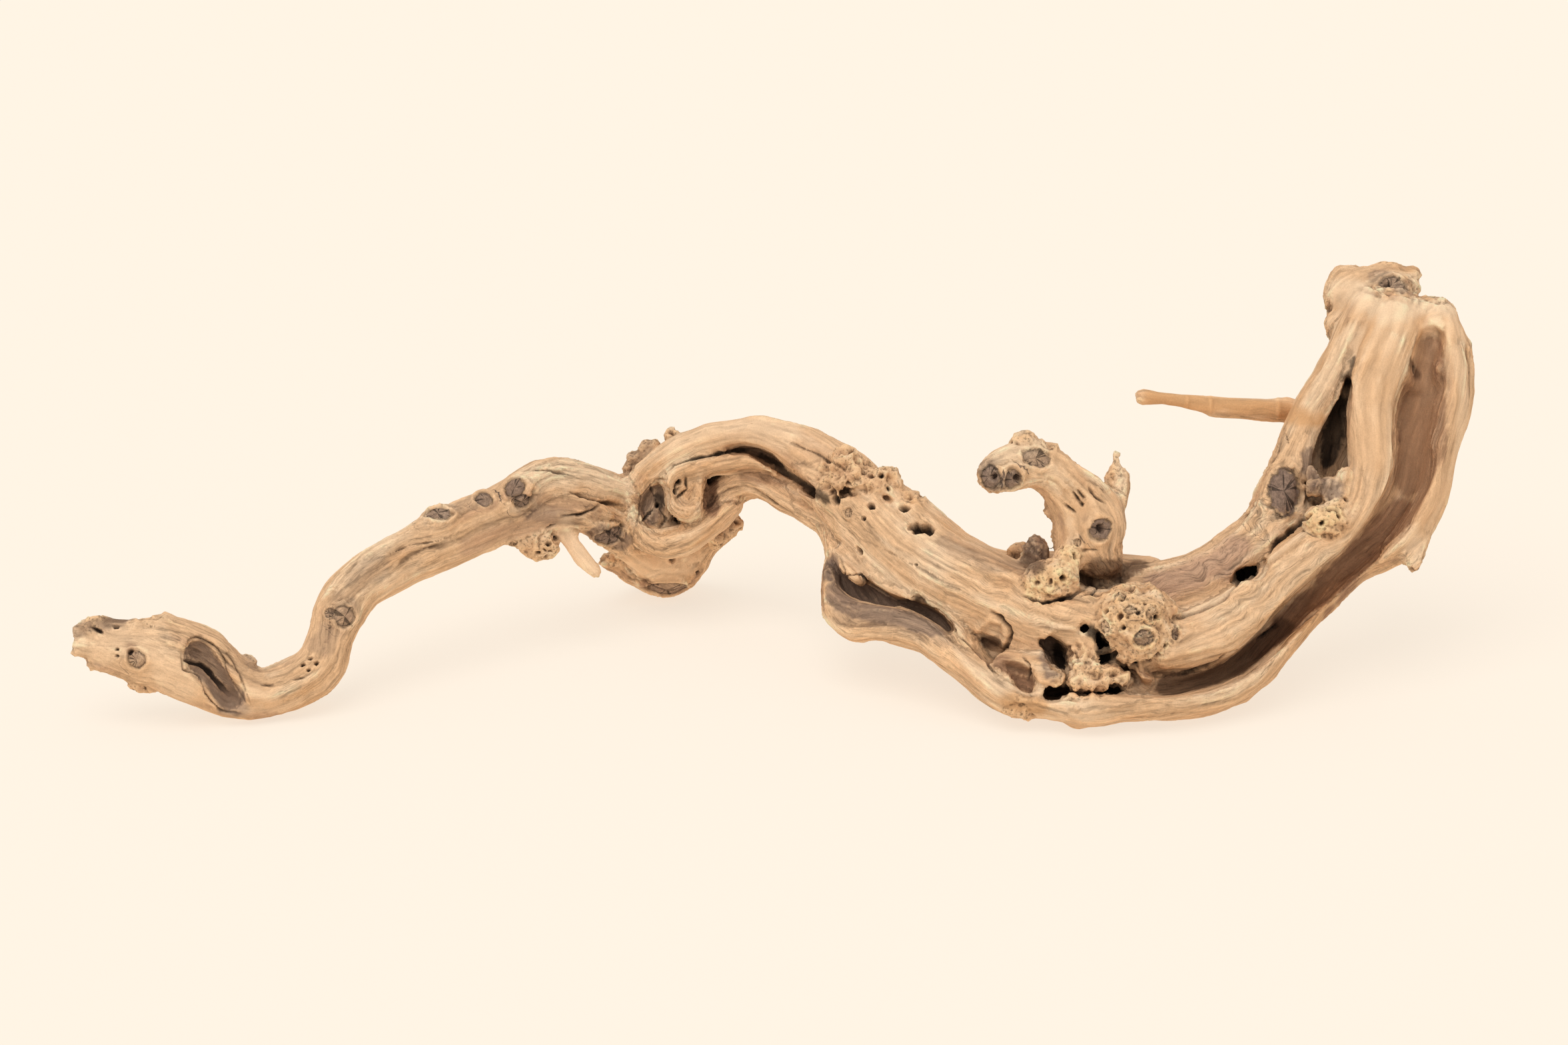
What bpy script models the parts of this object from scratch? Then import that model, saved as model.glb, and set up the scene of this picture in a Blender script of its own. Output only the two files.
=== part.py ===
"""A piece of driftwood: one old vine stem, bleached and hollowed, lying on three low points.

The stem is drawn as the strands of wood that it is made of. Each strand is a list of stations, and
each station is (across, down, back, half_width, half_depth) in millimetres: across and down from the
top left corner of a view 1 metre wide, and back from the nearest low point, away from the viewer.
"""
import math

import bmesh
import bpy
from mathutils import Vector, noise

# The view that the stations are laid out in
VIEW_WIDTH = 1.0  # metres across, so the stem comes out 0.9 m long
VIEW_HEIGHT = 0.6665
VIEW_TILT = math.radians(20.0)  # how steeply the view looks down
EYE_DISTANCE = 2.6
CENTRE_HEIGHT = 0.1275  # the middle of the view above the floor
MM = 0.001

# How finely the strands are drawn and joined
RING_SIDES = 28
STATION_STEPS = 6
GRAIN_VOXEL = 0.0021
TRIANGLES = 11400
NODE_NAME = "driftwood"

# The low left end, its broad blunt head, and the arm that climbs to the loop
LEFT_ARM = (
    (54, 409, 5, 9, 8),
    (66, 411, 5, 16, 12),
    (84, 415, 5, 20, 15),
    (105, 418.5, 6, 24.5, 18),
    (127, 427, 13, 24, 19),
    (147, 439.5, 20, 19, 19),
    (168, 443, 27, 16, 18),
    (190, 435, 31, 17, 18),
    (204.5, 424, 36, 16, 17),
    (211, 406, 41, 15.5, 17),
    (217, 389, 46, 17, 18),
    (229, 372.5, 53, 16.5, 18),
    (254, 357.5, 68, 17, 18),
    (280, 344.5, 83, 18.5, 18),
    (303, 334, 98, 17.8, 18),
    (325, 323, 112, 18, 18),
    (345, 309.5, 124, 17, 17),
    (365, 307.5, 138, 14.5, 16),
    (385, 312, 154, 13, 15),
    (405, 319, 174, 12, 14),
    (425, 326, 194, 12, 14),
)
LOWER_ARM = (
    (300, 340, 98, 12, 12),
    (325, 331, 112, 15, 15),
    (350, 326, 123, 15, 15),
    (372, 328, 136, 12, 13),
    (388, 337, 154, 12, 12),
    (402, 349, 180, 10, 13),
    (415, 358, 206, 12, 15),
)

# The ragged tips and horns of the broken head
HEAD_TIP_HIGH = (
    (62, 405, 3, 6.5, 6),
    (53, 402, 2, 5, 5),
    (46.5, 401.5, 1, 4, 4),
)
HEAD_TIP_MIDDLE = (
    (64, 414, 2, 7, 6),
    (55, 414.5, 0, 5.6, 5.4),
    (49, 415, -1, 4.4, 4.2),
)
HEAD_TIP_LOW = (
    (72, 423, 4, 7, 7),
    (63, 424.5, 3, 4.6, 5),
    (58, 423.5, 2, 3.6, 3.6),
)
HEAD_HORN = (
    (72, 402, 4, 5, 5),
    (68, 395, 5, 3.6, 3.6),
    (66, 391.5, 5, 2.6, 2.6),
)
HEAD_BACK_HORN = (
    (112, 402, 10, 6, 6),
    (107, 394, 11, 4, 4),
    (105, 390.5, 11, 2.8, 2.8),
)

# The thin fork that hangs under the arm, and its spur
FORK = (
    (358, 326, 128, 8, 5),
    (361, 335, 126, 6.5, 4.5),
    (363, 344, 124, 5.8, 4),
    (368, 352, 122, 6.6, 4),
    (372, 357.5, 121, 6.8, 4),
    (377, 362.5, 120, 5, 3.8),
    (380.5, 367, 119, 3.4, 3.4),
)
FORK_SPUR = (
    (364, 341, 125, 3.6, 3),
    (367, 337, 126, 2.8, 2.6),
    (369, 333, 127, 2.2, 2.2),
)

# The loop: the outer strand curls over, round and back under itself like a ram's horn
LOOP_OUTER = (
    (562, 322, 98, 17, 16),
    (536, 302, 114, 19, 17),
    (508, 285, 125, 15, 16),
    (485, 277, 136, 11.4, 15),
    (468, 277.5, 144, 10.2, 15),
    (452, 280, 150, 10.5, 15),
    (436, 286, 155, 10.5, 15),
    (422, 295, 158, 10.5, 15),
    (411, 304, 160, 9, 15),
    (404, 316, 160, 6.8, 14),
    (403.5, 328, 160, 6, 14),
    (409, 340, 160, 7.5, 14),
    (420, 346, 160, 9.5, 15),
    (433, 345, 160, 10, 15),
    (446, 339, 160, 9.5, 14),
    (457, 331, 162, 8.5, 13),
    (468, 321, 164, 6.5, 12),
)
LOOP_INNER = (
    (506, 303, 132, 4, 9),
    (482, 293, 140, 6, 10),
    (463, 295, 146, 6.5, 10),
    (444, 298, 149, 6.5, 11),
    (431, 303, 149, 6, 11),
    (427.5, 312, 148, 5, 11),
    (430, 321.5, 147, 5.5, 11),
    (438, 327, 146, 6, 10),
    (446, 322, 147, 4.6, 9),
    (448, 313, 149, 3.8, 9),
    (446, 305, 150, 4, 9),
)
LOOP_BACK = (
    (400, 320, 188, 12, 12),
    (425, 320, 190, 20, 12),
    (448, 318, 188, 20, 14),
    (475, 308, 176, 12, 14),
    (500, 308, 158, 12, 14),
    (525, 320, 138, 14, 14),
)
LOOP_ROOF = (
    (428, 297, 176, 8, 8),
    (450, 289, 174, 8, 9),
    (475, 286, 166, 9, 10),
    (498, 292, 152, 11, 12),
    (520, 306, 136, 12, 12),
)
LOOP_PLUG = (
    (420, 310, 172, 8, 12),
    (419, 320, 170, 12, 12),
    (420, 331, 170, 12, 12),
)
CURL_PLUG = (
    (438, 306, 150, 5, 9),
    (439, 316, 150, 5, 9),
)
ARCH_LOWER = (
    (452, 322, 168, 7.5, 13),
    (461, 312, 166, 9, 13),
    (474, 307, 160, 9, 13),
    (487, 310, 154, 8.5, 13),
    (501, 318, 144, 8.5, 13),
    (515, 326, 132, 8.5, 13),
    (527.5, 336, 120, 8.5, 14),
    (533.5, 351, 108, 7.5, 14),
)

# The foot that carries the loop on the floor
FOOT = (
    (385, 358, 206, 4.5, 5),
    (393, 358, 210, 8.5, 10),
    (406, 360, 218, 14, 18),
    (424, 362, 226, 20, 24),
    (439, 357, 221, 15, 21),
    (450, 347, 210, 9.5, 16),
    (462, 338, 196, 7, 12),
)
FOOT_NECK = (
    (412, 336, 186, 12, 12),
    (424, 346, 202, 18, 16),
    (428, 356, 216, 19, 18),
)

# The trunk: one broad front strand, a ridge behind it and a shell below
TRUNK_FRONT = (
    (516, 303, 118, 14, 14),
    (535, 313, 104, 21, 20),
    (555, 328, 90, 26, 22),
    (574, 345, 76, 29, 24),
    (596, 361, 62, 27, 26),
    (618, 373, 48, 25, 26),
    (645, 386, 36, 26, 27),
    (672, 396, 29, 27, 27),
    (697, 401, 25, 26, 27),
    (722, 404, 24, 24, 26),
    (745, 408, 24, 20, 24),
)
TRUNK_TONGUE = (
    (540, 350, 84, 5, 8),
    (556, 364, 72, 9, 10),
    (574, 375, 60, 11, 11),
    (592, 388, 48, 12, 12),
    (606, 400, 38, 12, 12),
    (616, 413, 30, 9, 10),
    (627, 423, 24, 5.5, 6),
    (634, 429, 21, 2.5, 3),
)
TRUNK_BACK = (
    (538, 345, 104, 16, 14),
    (548, 372, 96, 18, 15),
    (565, 390, 84, 18, 15),
    (600, 402, 66, 19, 18),
    (640, 420, 48, 21, 22),
    (690, 430, 42, 22, 24),
    (740, 428, 42, 22, 24),
    (780, 412, 50, 22, 24),
    (815, 385, 60, 22, 24),
)
RECESS_RIDGE = (
    (528, 366, 84, 5, 9),
    (532, 379, 74, 6.5, 12),
    (545, 388, 66, 6.5, 14),
    (562, 392, 56, 6, 15),
    (580, 397, 46, 6.5, 15),
    (597, 406, 36, 6, 14),
    (612, 419, 26, 5.5, 12),
)
BELLY_PLATE = (
    (640, 424, 14, 10, 12),
    (655, 430, 8, 14, 13),
    (675, 432, 5, 18, 14),
    (695, 432, 5, 18, 14),
    (714, 434, 8, 13, 14),
    (730, 438, 12, 8, 12),
)
BACK_RIDGE = (
    (585, 333, 94, 14, 15),
    (612, 356, 82, 15, 18),
    (640, 368, 72, 16, 20),
    (672, 370, 64, 18, 22),
    (705, 372, 60, 18, 22),
    (735, 373, 56, 18, 22),
)
LOWER_SHELL = (
    (528, 336, 116, 6, 12),
    (530, 350, 106, 5, 14),
    (531, 363, 96, 6, 15),
    (530, 377, 86, 7.5, 15),
    (534, 390, 76, 9, 16),
    (547, 399, 64, 10.5, 17),
    (564, 400, 52, 9.5, 17),
    (587, 405, 40, 10, 18),
    (606, 418, 30, 10, 18),
    (625, 433, 20, 10, 18),
    (645, 446, 12, 11, 18),
    (668, 449, 10, 9, 20),
    (694, 452, 9, 12, 24),
    (720, 448, 14, 12, 26),
    (748, 445, 20, 13, 28),
    (774, 439, 32, 14, 30),
    (797, 424, 38, 15.5, 30),
    (819, 395.5, 48, 17, 30),
    (851, 356, 60, 22, 30),
    (878, 335, 67, 28, 30),
    (893, 315, 72, 29, 30),
    (897.5, 296, 74, 29, 30),
    (902.5, 277, 76, 29, 30),
    (909.5, 257, 78, 28.5, 30),
    (912, 239, 80, 27.5, 28),
    (914.5, 223, 82, 24, 26),
    (916.5, 206, 84, 15.5, 22),
    (918.5, 199, 84, 12, 18),
)
LOWER_FLANGE = (
    (888, 330, 64, 26, 12),
    (897, 345, 58, 18, 10),
    (901, 356, 52, 9, 7),
    (902, 363, 48, 4, 5),
)

# The right arm's two front strands, which part round the long hollow and meet at the crown
LEFT_STRAND = (
    (722, 382, 44, 18.5, 20),
    (746.5, 378, 44, 21, 19),
    (768.5, 370, 45, 20, 18),
    (787.5, 357.5, 47, 19.5, 17),
    (805, 340, 50, 17.5, 17),
    (815, 319, 53, 15.5, 17),
    (822, 296, 57, 12.5, 16),
    (829, 276, 61, 11, 15),
    (838, 258, 65, 11.5, 15),
    (848, 241, 69, 11.5, 15),
    (857, 223, 73, 11.5, 15),
    (865, 206, 77, 11.5, 15),
    (872, 194, 80, 11, 14),
)
MIDDLE_STRAND = (
    (738, 414, 14, 14, 18),
    (758, 409, 15, 17, 18),
    (779, 401, 17, 17.5, 18),
    (800, 385, 20, 17, 17),
    (821, 365, 25, 16.5, 17),
    (838, 350.5, 30, 15.5, 17),
    (855, 340, 35, 14.5, 17),
    (868, 322, 39, 14.5, 16),
    (874.5, 301, 42, 13.8, 16),
    (873.5, 279, 46, 15.5, 16),
    (872.5, 254, 52, 16, 16),
    (879, 233, 58, 17, 16),
    (886.5, 214, 66, 16, 15),
    (890, 202, 74, 14, 14),
)
RIGHT_BACK = (
    (716, 400, 62, 18, 20),
    (745, 394, 64, 18, 20),
    (785, 374, 68, 20, 20),
    (815, 350, 74, 20, 20),
    (838, 320, 80, 20, 18),
    (850, 290, 86, 19, 18),
    (858, 262, 90, 17, 18),
    (866, 236, 92, 16, 18),
    (874, 212, 96, 16, 16),
)
STRAND_SEAM = (
    (752, 393, 34, 8, 12),
    (775, 383, 36, 8, 12),
    (800, 363, 42, 9, 12),
    (820, 342, 46, 9, 12),
    (836, 326, 52, 9, 12),
)
CROWN_FRONT = (
    (868, 197, 84, 12, 16),
    (885, 194, 86, 12, 16),
    (900, 199, 86, 10, 16),
    (917, 197, 86, 8, 14),
)
CROWN_CORNER = (
    (905, 197.5, 84, 6, 14),
    (915, 198, 84, 6.5, 15),
    (924.5, 200.5, 84, 6, 14),
)
CROWN_BACK = (
    (857, 197, 104, 12, 14),
    (860, 187, 104, 15.5, 16),
    (872, 185, 102, 14, 16),
    (887, 185, 100, 14, 16),
    (897, 188, 98, 9, 14),
)
CROWN_NECK = (
    (852, 206, 100, 8, 10),
    (865, 214, 92, 18, 16),
    (880, 226, 86, 22, 16),
)
CROWN_KNOB = (
    (892, 190, 98, 7, 8),
    (898, 178, 100, 6.5, 8),
    (901, 174, 100, 5.5, 7),
)
CROWN_KNOB_TIP = (
    (898, 180, 99, 5, 6),
    (903, 186, 98, 3.6, 4),
)

# The stump that stands on the trunk, its fist, its horn and its spur
STUMP = (
    (703, 373, 38, 12, 14),
    (700, 358, 33, 16.5, 16),
    (695.5, 346, 28, 23, 19),
    (694, 332, 24, 24.5, 19),
    (688, 319.5, 21, 20.5, 17),
    (676, 306.5, 17, 15.8, 14),
    (664, 298, 13, 15, 13),
    (652, 296, 10, 14, 12),
)
STUMP_FIST = (
    (632, 304, 1, 12, 11),
    (638, 301.5, 3, 13.5, 12),
    (647, 298.5, 6, 15, 13),
    (657, 296.5, 10, 15.5, 13),
    (667, 298, 14, 14, 12),
)
STUMP_HORN = (
    (711, 322, 30, 8, 9),
    (713, 309, 32, 8.5, 8),
    (713, 301, 33, 7, 6.5),
    (712, 296, 34, 4, 4),
    (712, 290.5, 34, 3, 3),
)
STUMP_SPUR = (
    (674, 332, 22, 4, 4),
    (668, 328.5, 20, 3, 3),
    (663.5, 325.5, 19, 1.8, 1.8),
)

# The cane that was left on the back of the right arm
CANE = (
    (842, 268, 90, 8, 8),
    (830, 264, 88, 8, 8),
    (821, 261, 86, 8.4, 8),
    (811, 261, 84, 7, 7),
    (798, 260, 82, 6.8, 6.8),
    (784, 259.5, 80, 6.6, 6.6),
    (774, 258.5, 79, 7.2, 7),
    (766, 257.5, 78, 6, 6),
    (752, 255, 76, 5.4, 5.4),
    (738, 253.5, 74, 5.2, 5.2),
    (731, 253, 73, 6, 6),
    (727.5, 253, 72, 6, 6),
)

STRANDS = (
    LEFT_ARM, LOWER_ARM, HEAD_TIP_HIGH, HEAD_TIP_MIDDLE, HEAD_TIP_LOW, HEAD_HORN, HEAD_BACK_HORN,
    FORK, FORK_SPUR, LOOP_OUTER, LOOP_INNER, LOOP_BACK, LOOP_ROOF, LOOP_PLUG, CURL_PLUG, ARCH_LOWER, FOOT,
    FOOT_NECK, TRUNK_FRONT, TRUNK_TONGUE, TRUNK_BACK, BELLY_PLATE, BACK_RIDGE, LOWER_SHELL, LOWER_FLANGE,
    LEFT_STRAND, MIDDLE_STRAND, RIGHT_BACK, STRAND_SEAM, CROWN_FRONT, CROWN_CORNER, CROWN_BACK, CROWN_NECK,
    CROWN_KNOB, CROWN_KNOB_TIP, STUMP, STUMP_FIST, STUMP_HORN, STUMP_SPUR, CANE,
)

# Burls and knots: (across, down, back, radius across, radius down, radius back, how rough)
BURLS = (
    (724, 398, 10, 29, 26, 24, 0.10),
    (540, 304, 90, 15, 18, 18, 0.22),
    (561, 309, 84, 13, 13, 16, 0.22),
    (581, 326, 76, 11, 11, 14, 0.20),
    (596, 338, 68, 8, 8, 10, 0.18),
    (345, 349, 116, 12, 9, 10, 0.20),
    (333, 345, 112, 8, 7, 8, 0.16),
    (406, 297, 172, 9.5, 10, 8, 0.22),
    (414, 286, 172, 8, 6.5, 8, 0.22),
    (430, 278, 168, 7, 6, 7, 0.18),
    (456, 344, 184, 9, 7, 10, 0.20),
    (467, 335, 182, 8, 8, 9, 0.20),
    (672, 368, 12, 18, 11, 12, 0.14),
    (681, 356, 14, 8, 10, 9, 0.12),
    (653, 284, 10, 9, 9, 9, 0.16),
    (666, 289, 13, 11, 8, 9, 0.14),
    (676, 290, 16, 6, 5, 6, 0.16),
    (649, 352, 56, 7, 6, 7, 0.16),
    (661, 353, 40, 9, 12, 11, 0.14),
    (159, 421, 24, 5, 5, 6, 0.2),
    (281, 331, 78, 13, 9, 9, 0.12),
    (309, 319, 94, 8, 7, 8, 0.10),
    (331, 314, 100, 11, 11, 9, 0.08),
    (690, 457, 6, 10, 8, 14, 0.10),
    (650, 452, 4, 10, 7, 10, 0.18),
    (216, 394, 36, 10, 9, 10, 0.10),
    (97, 399, 2, 17, 7, 10, 0.24),
    (62, 398, 4, 10, 6, 8, 0.24),
    (91, 438, 6, 10, 5, 6, 0.20),
    (855, 175, 104, 7, 6, 9, 0.16),
    (884, 172, 102, 10, 5, 9, 0.18),
)

# Hollows that the sea and rot have opened, laid out as the strands are
EYE_OF_HEAD = (
    (123, 415, -6, 8.5, 14),
    (128, 420.5, -5, 12.5, 14),
    (136, 430, -4, 11, 15),
    (142, 439, -1, 9.8, 15),
    (149, 448, 3, 9, 14),
)
EYE_OF_LOOP = (
    (422, 312, 138, 6.5, 20),
    (417, 320, 137, 9.5, 20),
    (413.5, 330, 138, 8, 20),
)
LOOP_POCKET = (
    (452, 309, 142, 4.5, 18),
    (452.5, 317, 140, 5, 19),
    (452, 325, 142, 5, 18),
)
LOOP_SLIT = (
    (445, 291, 138, 1.2, 12),
    (462, 288.5, 138, 1.8, 16),
    (476, 287, 134, 3, 20),
    (488, 291.5, 128, 4.2, 20),
    (500, 300.5, 120, 4.8, 20),
    (513, 309.5, 112, 4.8, 20),
    (527, 318.5, 104, 4.2, 18),
)
TROUGH = (
    (708, 441, -12, 3.5, 18),
    (742, 438.5, -8, 7, 24),
    (765, 434.5, -6, 9, 30),
    (787, 427, 0, 9.5, 32),
    (807, 411.5, 6, 11, 34),
    (826, 392.5, 14, 12, 34),
    (847, 373, 20, 13, 34),
    (868, 354.5, 26, 13.5, 34),
    (886, 336, 30, 14.5, 36),
    (897.5, 317, 33, 15, 37),
    (903.5, 300, 35, 15.5, 38),
    (905, 280, 36, 17, 38),
    (907.5, 258, 40, 19.5, 37),
    (913, 239, 46, 16, 31),
    (912.5, 227, 54, 13.5, 22),
    (912, 215, 62, 9.5, 12),
)
LONG_HOLLOW = (
    (848, 304, 38, 10.5, 26),
    (847.5, 294, 42, 12, 28),
    (849, 282, 46, 10.5, 28),
    (852, 270, 50, 7.5, 26),
    (857, 254, 58, 4.2, 20),
    (861.5, 238, 62, 2.2, 14),
)
STRAND_GAP = (
    (789, 371, 18, 2.2, 20),
    (794, 367, 20, 5.4, 24),
    (800, 364.5, 22, 6, 24),
    (806, 360, 24, 2.4, 20),
)
TRUNK_HOLLOW = (
    (533, 358, 76, 4, 14),
    (539, 365, 66, 6.5, 18),
    (549, 374, 58, 7.5, 20),
    (565, 383, 50, 5.6, 20),
    (582, 387.5, 42, 5, 20),
    (596, 394, 34, 4.6, 18),
    (607, 404, 28, 3.4, 14),
)
TONGUE_POCKET = (
    (625, 406, 6, 5, 14),
    (632, 408, 4, 5.5, 14),
    (638, 408, 4, 3.5, 12),
)
BURL_PIT_HIGH = (
    (538, 313, 76, 4, 10),
    (543, 315, 76, 3.4, 10),
)
BURL_PIT_LOW = (
    (564, 318, 68, 3.6, 10),
    (568, 320, 68, 3, 9),
)
STUMP_UNDERCUT = (
    (686, 366, 22, 3, 15),
    (694, 371, 22, 4, 17),
    (706, 371.5, 22, 4.6, 18),
    (717, 366, 24, 4.6, 17),
    (722, 358, 28, 3, 13),
)
FOOT_SCAR = (
    (408, 374, 196, 3, 5),
    (424, 380, 196, 5, 6),
    (438, 376, 196, 3, 5),
)
TRUNK_PIT = (
    (585, 333, 84, 6.5, 16),
    (592, 336, 80, 6.5, 16),
)

# The rotten holes in the trunk's belly
BELLY_HOLE_LEFT = (
    (668, 410, 4, 5, 20),
    (672, 415, 6, 7.5, 24),
    (676.5, 421, 6, 7.5, 28),
    (679.5, 429, 8, 4, 24),
)
BELLY_HOLE_RIGHT = (
    (691, 400.5, 2, 4.4, 22),
    (697, 406, 2, 4.4, 26),
    (703, 413.5, 2, 7.5, 30),
    (705, 421, 2, 6.5, 28),
)
BELLY_SLIT = (
    (690, 442.5, 4, 3, 20),
    (700, 441.5, 2, 3.8, 24),
    (712, 440, 2, 3, 24),
)
BELLY_CORNER = (
    (638, 422, -2, 3.5, 12),
    (646, 427, -4, 7, 14),
    (653, 433.5, -6, 7.5, 15),
    (656, 441, -6, 4.5, 13),
)
BELLY_UNDER = (
    (667, 443, 4, 4.6, 20),
    (675, 441.5, 4, 5, 22),
    (683, 440, 4, 3.4, 20),
)
BELLY_SIDE = (
    (715, 424, 2, 3.2, 20),
    (722, 430, 2, 3.6, 22),
    (727, 437, 4, 2.6, 18),
)
HOLLOWS = (
    EYE_OF_HEAD, EYE_OF_LOOP, LOOP_POCKET, LOOP_SLIT, TROUGH, LONG_HOLLOW, STRAND_GAP, TRUNK_HOLLOW,
    TONGUE_POCKET, BURL_PIT_HIGH, BURL_PIT_LOW, STUMP_UNDERCUT, FOOT_SCAR, TRUNK_PIT,
    BELLY_HOLE_LEFT, BELLY_HOLE_RIGHT, BELLY_SLIT, BELLY_CORNER, BELLY_UNDER, BELLY_SIDE,
)

# Thin wood that stands inside the hollows
BELLY_WEB = (
    (695, 404, 4, 3, 5),
    (697, 413, 2, 2.6, 4),
    (694, 421, 2, 3, 5),
)
BELLY_THORN = (
    (712, 411, 4, 4, 5),
    (705, 415, 1, 2.4, 3.5),
    (701, 416, 0, 1.8, 2.6),
)
TROUGH_BUMP = (
    (919, 231, 74, 6, 8),
    (919.5, 237, 72, 7.5, 9),
    (918, 244, 72, 6, 8),
)
RECESS_FOLD = (
    (534, 354, 82, 2.6, 8),
    (540, 363, 72, 3, 9),
    (548, 371, 62, 2.4, 8),
)
LACE = (BELLY_WEB, BELLY_THORN, TROUGH_BUMP, RECESS_FOLD, RECESS_RIDGE)

# Small knobs of wood left in the long hollow and on its sill, laid out as the burls are
SILL_KNOBS = (
    (846, 332, 24, 15, 10, 14, 0.14),
    (852, 321, 30, 9, 6, 9, 0.16),
    (839, 311, 30, 4.5, 6, 9, 0.2),
    (847, 308, 34, 4, 4.5, 9, 0.2),
    (857, 304, 32, 5, 5, 8, 0.2),
    (856, 314, 30, 4.5, 5, 8, 0.2),
    (836, 302, 36, 3.4, 6, 8, 0.2),
)

# Every strand's girth wavers a little along its length
FLUTE_DEPTH = 0.05
FLUTE_TURN = 0.03

# How a strand's end is rounded: (how far past its last station, how wide), both in half widths
END_ROUNDING = ((0.45, 0.75), (0.7, 0.35))

# The wood's own unevenness, in metres
SWELL_SIZE = 0.030
SWELL_HEIGHT = 0.0016


def seen(across, down, back):
    """The point in space that a station lies at."""
    spread = (EYE_DISTANCE + back * MM) / EYE_DISTANCE
    side = (across * MM - VIEW_WIDTH / 2) * spread
    rise = (VIEW_HEIGHT / 2 - down * MM) * spread
    return Vector(
        (
            side,
            rise * math.sin(VIEW_TILT) + back * MM * math.cos(VIEW_TILT),
            rise * math.cos(VIEW_TILT) - back * MM * math.sin(VIEW_TILT) + CENTRE_HEIGHT,
        )
    )


VIEW_AXIS = Vector((0, math.cos(VIEW_TILT), -math.sin(VIEW_TILT)))


def curve(t, a, b, c, d):
    """A smooth curve's value between b and c, where t goes from 0 to 1."""
    return 0.5 * (2 * b + (c - a) * t + (2 * a - 5 * b + 4 * c - d) * t**2 + (3 * b - a - 3 * c + d) * t**3)


def smooth_stations(stations):
    """More stations, on a smooth curve through the given ones."""
    ends = [stations[0], *stations, stations[-1]]
    made = []
    for before, start, end, after in zip(ends, ends[1:], ends[2:], ends[3:]):
        for step in range(STATION_STEPS):
            t = step / STATION_STEPS
            made.append([curve(t, *values) for values in zip(before, start, end, after)])
    made.append(list(stations[-1]))
    return made


def ring(bm, centre, across_axis, depth_axis, half_width, half_depth, turn):
    """One closed ring of a strand, with low flutes that run the length of the strand."""
    verts = []
    for side in range(RING_SIDES):
        angle = 2 * math.pi * side / RING_SIDES
        flute = 1 + FLUTE_DEPTH * (math.cos(3 * angle + turn) + 0.7 * math.cos(7 * angle - turn))
        offset = across_axis * (half_width * math.cos(angle)) + depth_axis * (half_depth * math.sin(angle))
        verts.append(bm.verts.new(centre + offset * flute))
    return verts


def sweep(bm, stations):
    """A closed strand through its stations, with rounded ends."""
    rows = smooth_stations(stations)
    centres = [seen(*row[:3]) for row in rows]
    rings = []
    last = len(rows) - 1
    for index, (row, centre) in enumerate(zip(rows, centres)):
        along = (centres[min(index + 1, last)] - centres[max(index - 1, 0)]).normalized()
        across_axis = along.cross(VIEW_AXIS).normalized()
        depth_axis = across_axis.cross(along).normalized()
        spread = (EYE_DISTANCE + row[2] * MM) / EYE_DISTANCE * MM
        width, depth = row[3] * spread, row[4] * spread
        turn = FLUTE_TURN * index
        steps = [(0, 1)]
        if index == 0:
            steps = [(-out, share) for out, share in reversed(END_ROUNDING)] + steps
        if index == last:
            steps = steps + list(END_ROUNDING)
        for out, share in steps:
            place = centre + along * width * out
            rings.append(ring(bm, place, across_axis, depth_axis, width * share, depth * share, turn))
    for first, second in zip(rings, rings[1:]):
        for side in range(RING_SIDES):
            after = (side + 1) % RING_SIDES
            bm.faces.new((first[side], first[after], second[after], second[side]))
    bm.faces.new(reversed(rings[0]))
    bm.faces.new(rings[-1])


def burl(bm, across, down, back, radius_across, radius_down, radius_back, rough):
    """A lumpy swelling."""
    made = bmesh.ops.create_icosphere(bm, subdivisions=4, radius=1.0)
    centre = seen(across, down, back)
    up_axis = Vector((0, math.sin(VIEW_TILT), math.cos(VIEW_TILT)))
    for vert in made["verts"]:
        direction = vert.co.normalized()
        lump = 1 + rough * 1.6 * noise.noise(direction * 2.3 + centre * 90)
        vert.co = centre + MM * lump * (
            Vector((1, 0, 0)) * direction.x * radius_across
            + VIEW_AXIS * direction.y * radius_back
            + up_axis * direction.z * radius_down
        )


def mesh_object(name, fill):
    """A new object whose mesh the function fill builds."""
    bm = bmesh.new()
    fill(bm)
    bmesh.ops.recalc_face_normals(bm, faces=bm.faces)
    mesh = bpy.data.meshes.new(name)
    bm.to_mesh(mesh)
    bm.free()
    made = bpy.data.objects.new(name, mesh)
    bpy.context.scene.collection.objects.link(made)
    return made


def add_modifier(obj, kind, **settings):
    made = obj.modifiers.new(kind.title(), kind)
    for name, value in settings.items():
        setattr(made, name, value)
    return made


def apply_modifiers(obj):
    """The object's mesh becomes what its modifiers make of it."""
    graph = bpy.context.evaluated_depsgraph_get()
    mesh = bpy.data.meshes.new_from_object(obj.evaluated_get(graph))
    obj.modifiers.clear()
    obj.data = mesh


def all_strands(bm):
    for stations in STRANDS:
        sweep(bm, stations)
    for swelling in BURLS:
        burl(bm, *swelling)


def all_hollows(bm):
    for stations in HOLLOWS:
        sweep(bm, stations)


def wood_with_lace(obj):
    """Adds the thin wood that stands inside the hollows."""
    bm = bmesh.new()
    bm.from_mesh(obj.data)
    for stations in LACE:
        sweep(bm, stations)
    for knob in SILL_KNOBS:
        burl(bm, *knob)
    bmesh.ops.recalc_face_normals(bm, faces=bm.faces)
    bm.to_mesh(obj.data)
    bm.free()


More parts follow.
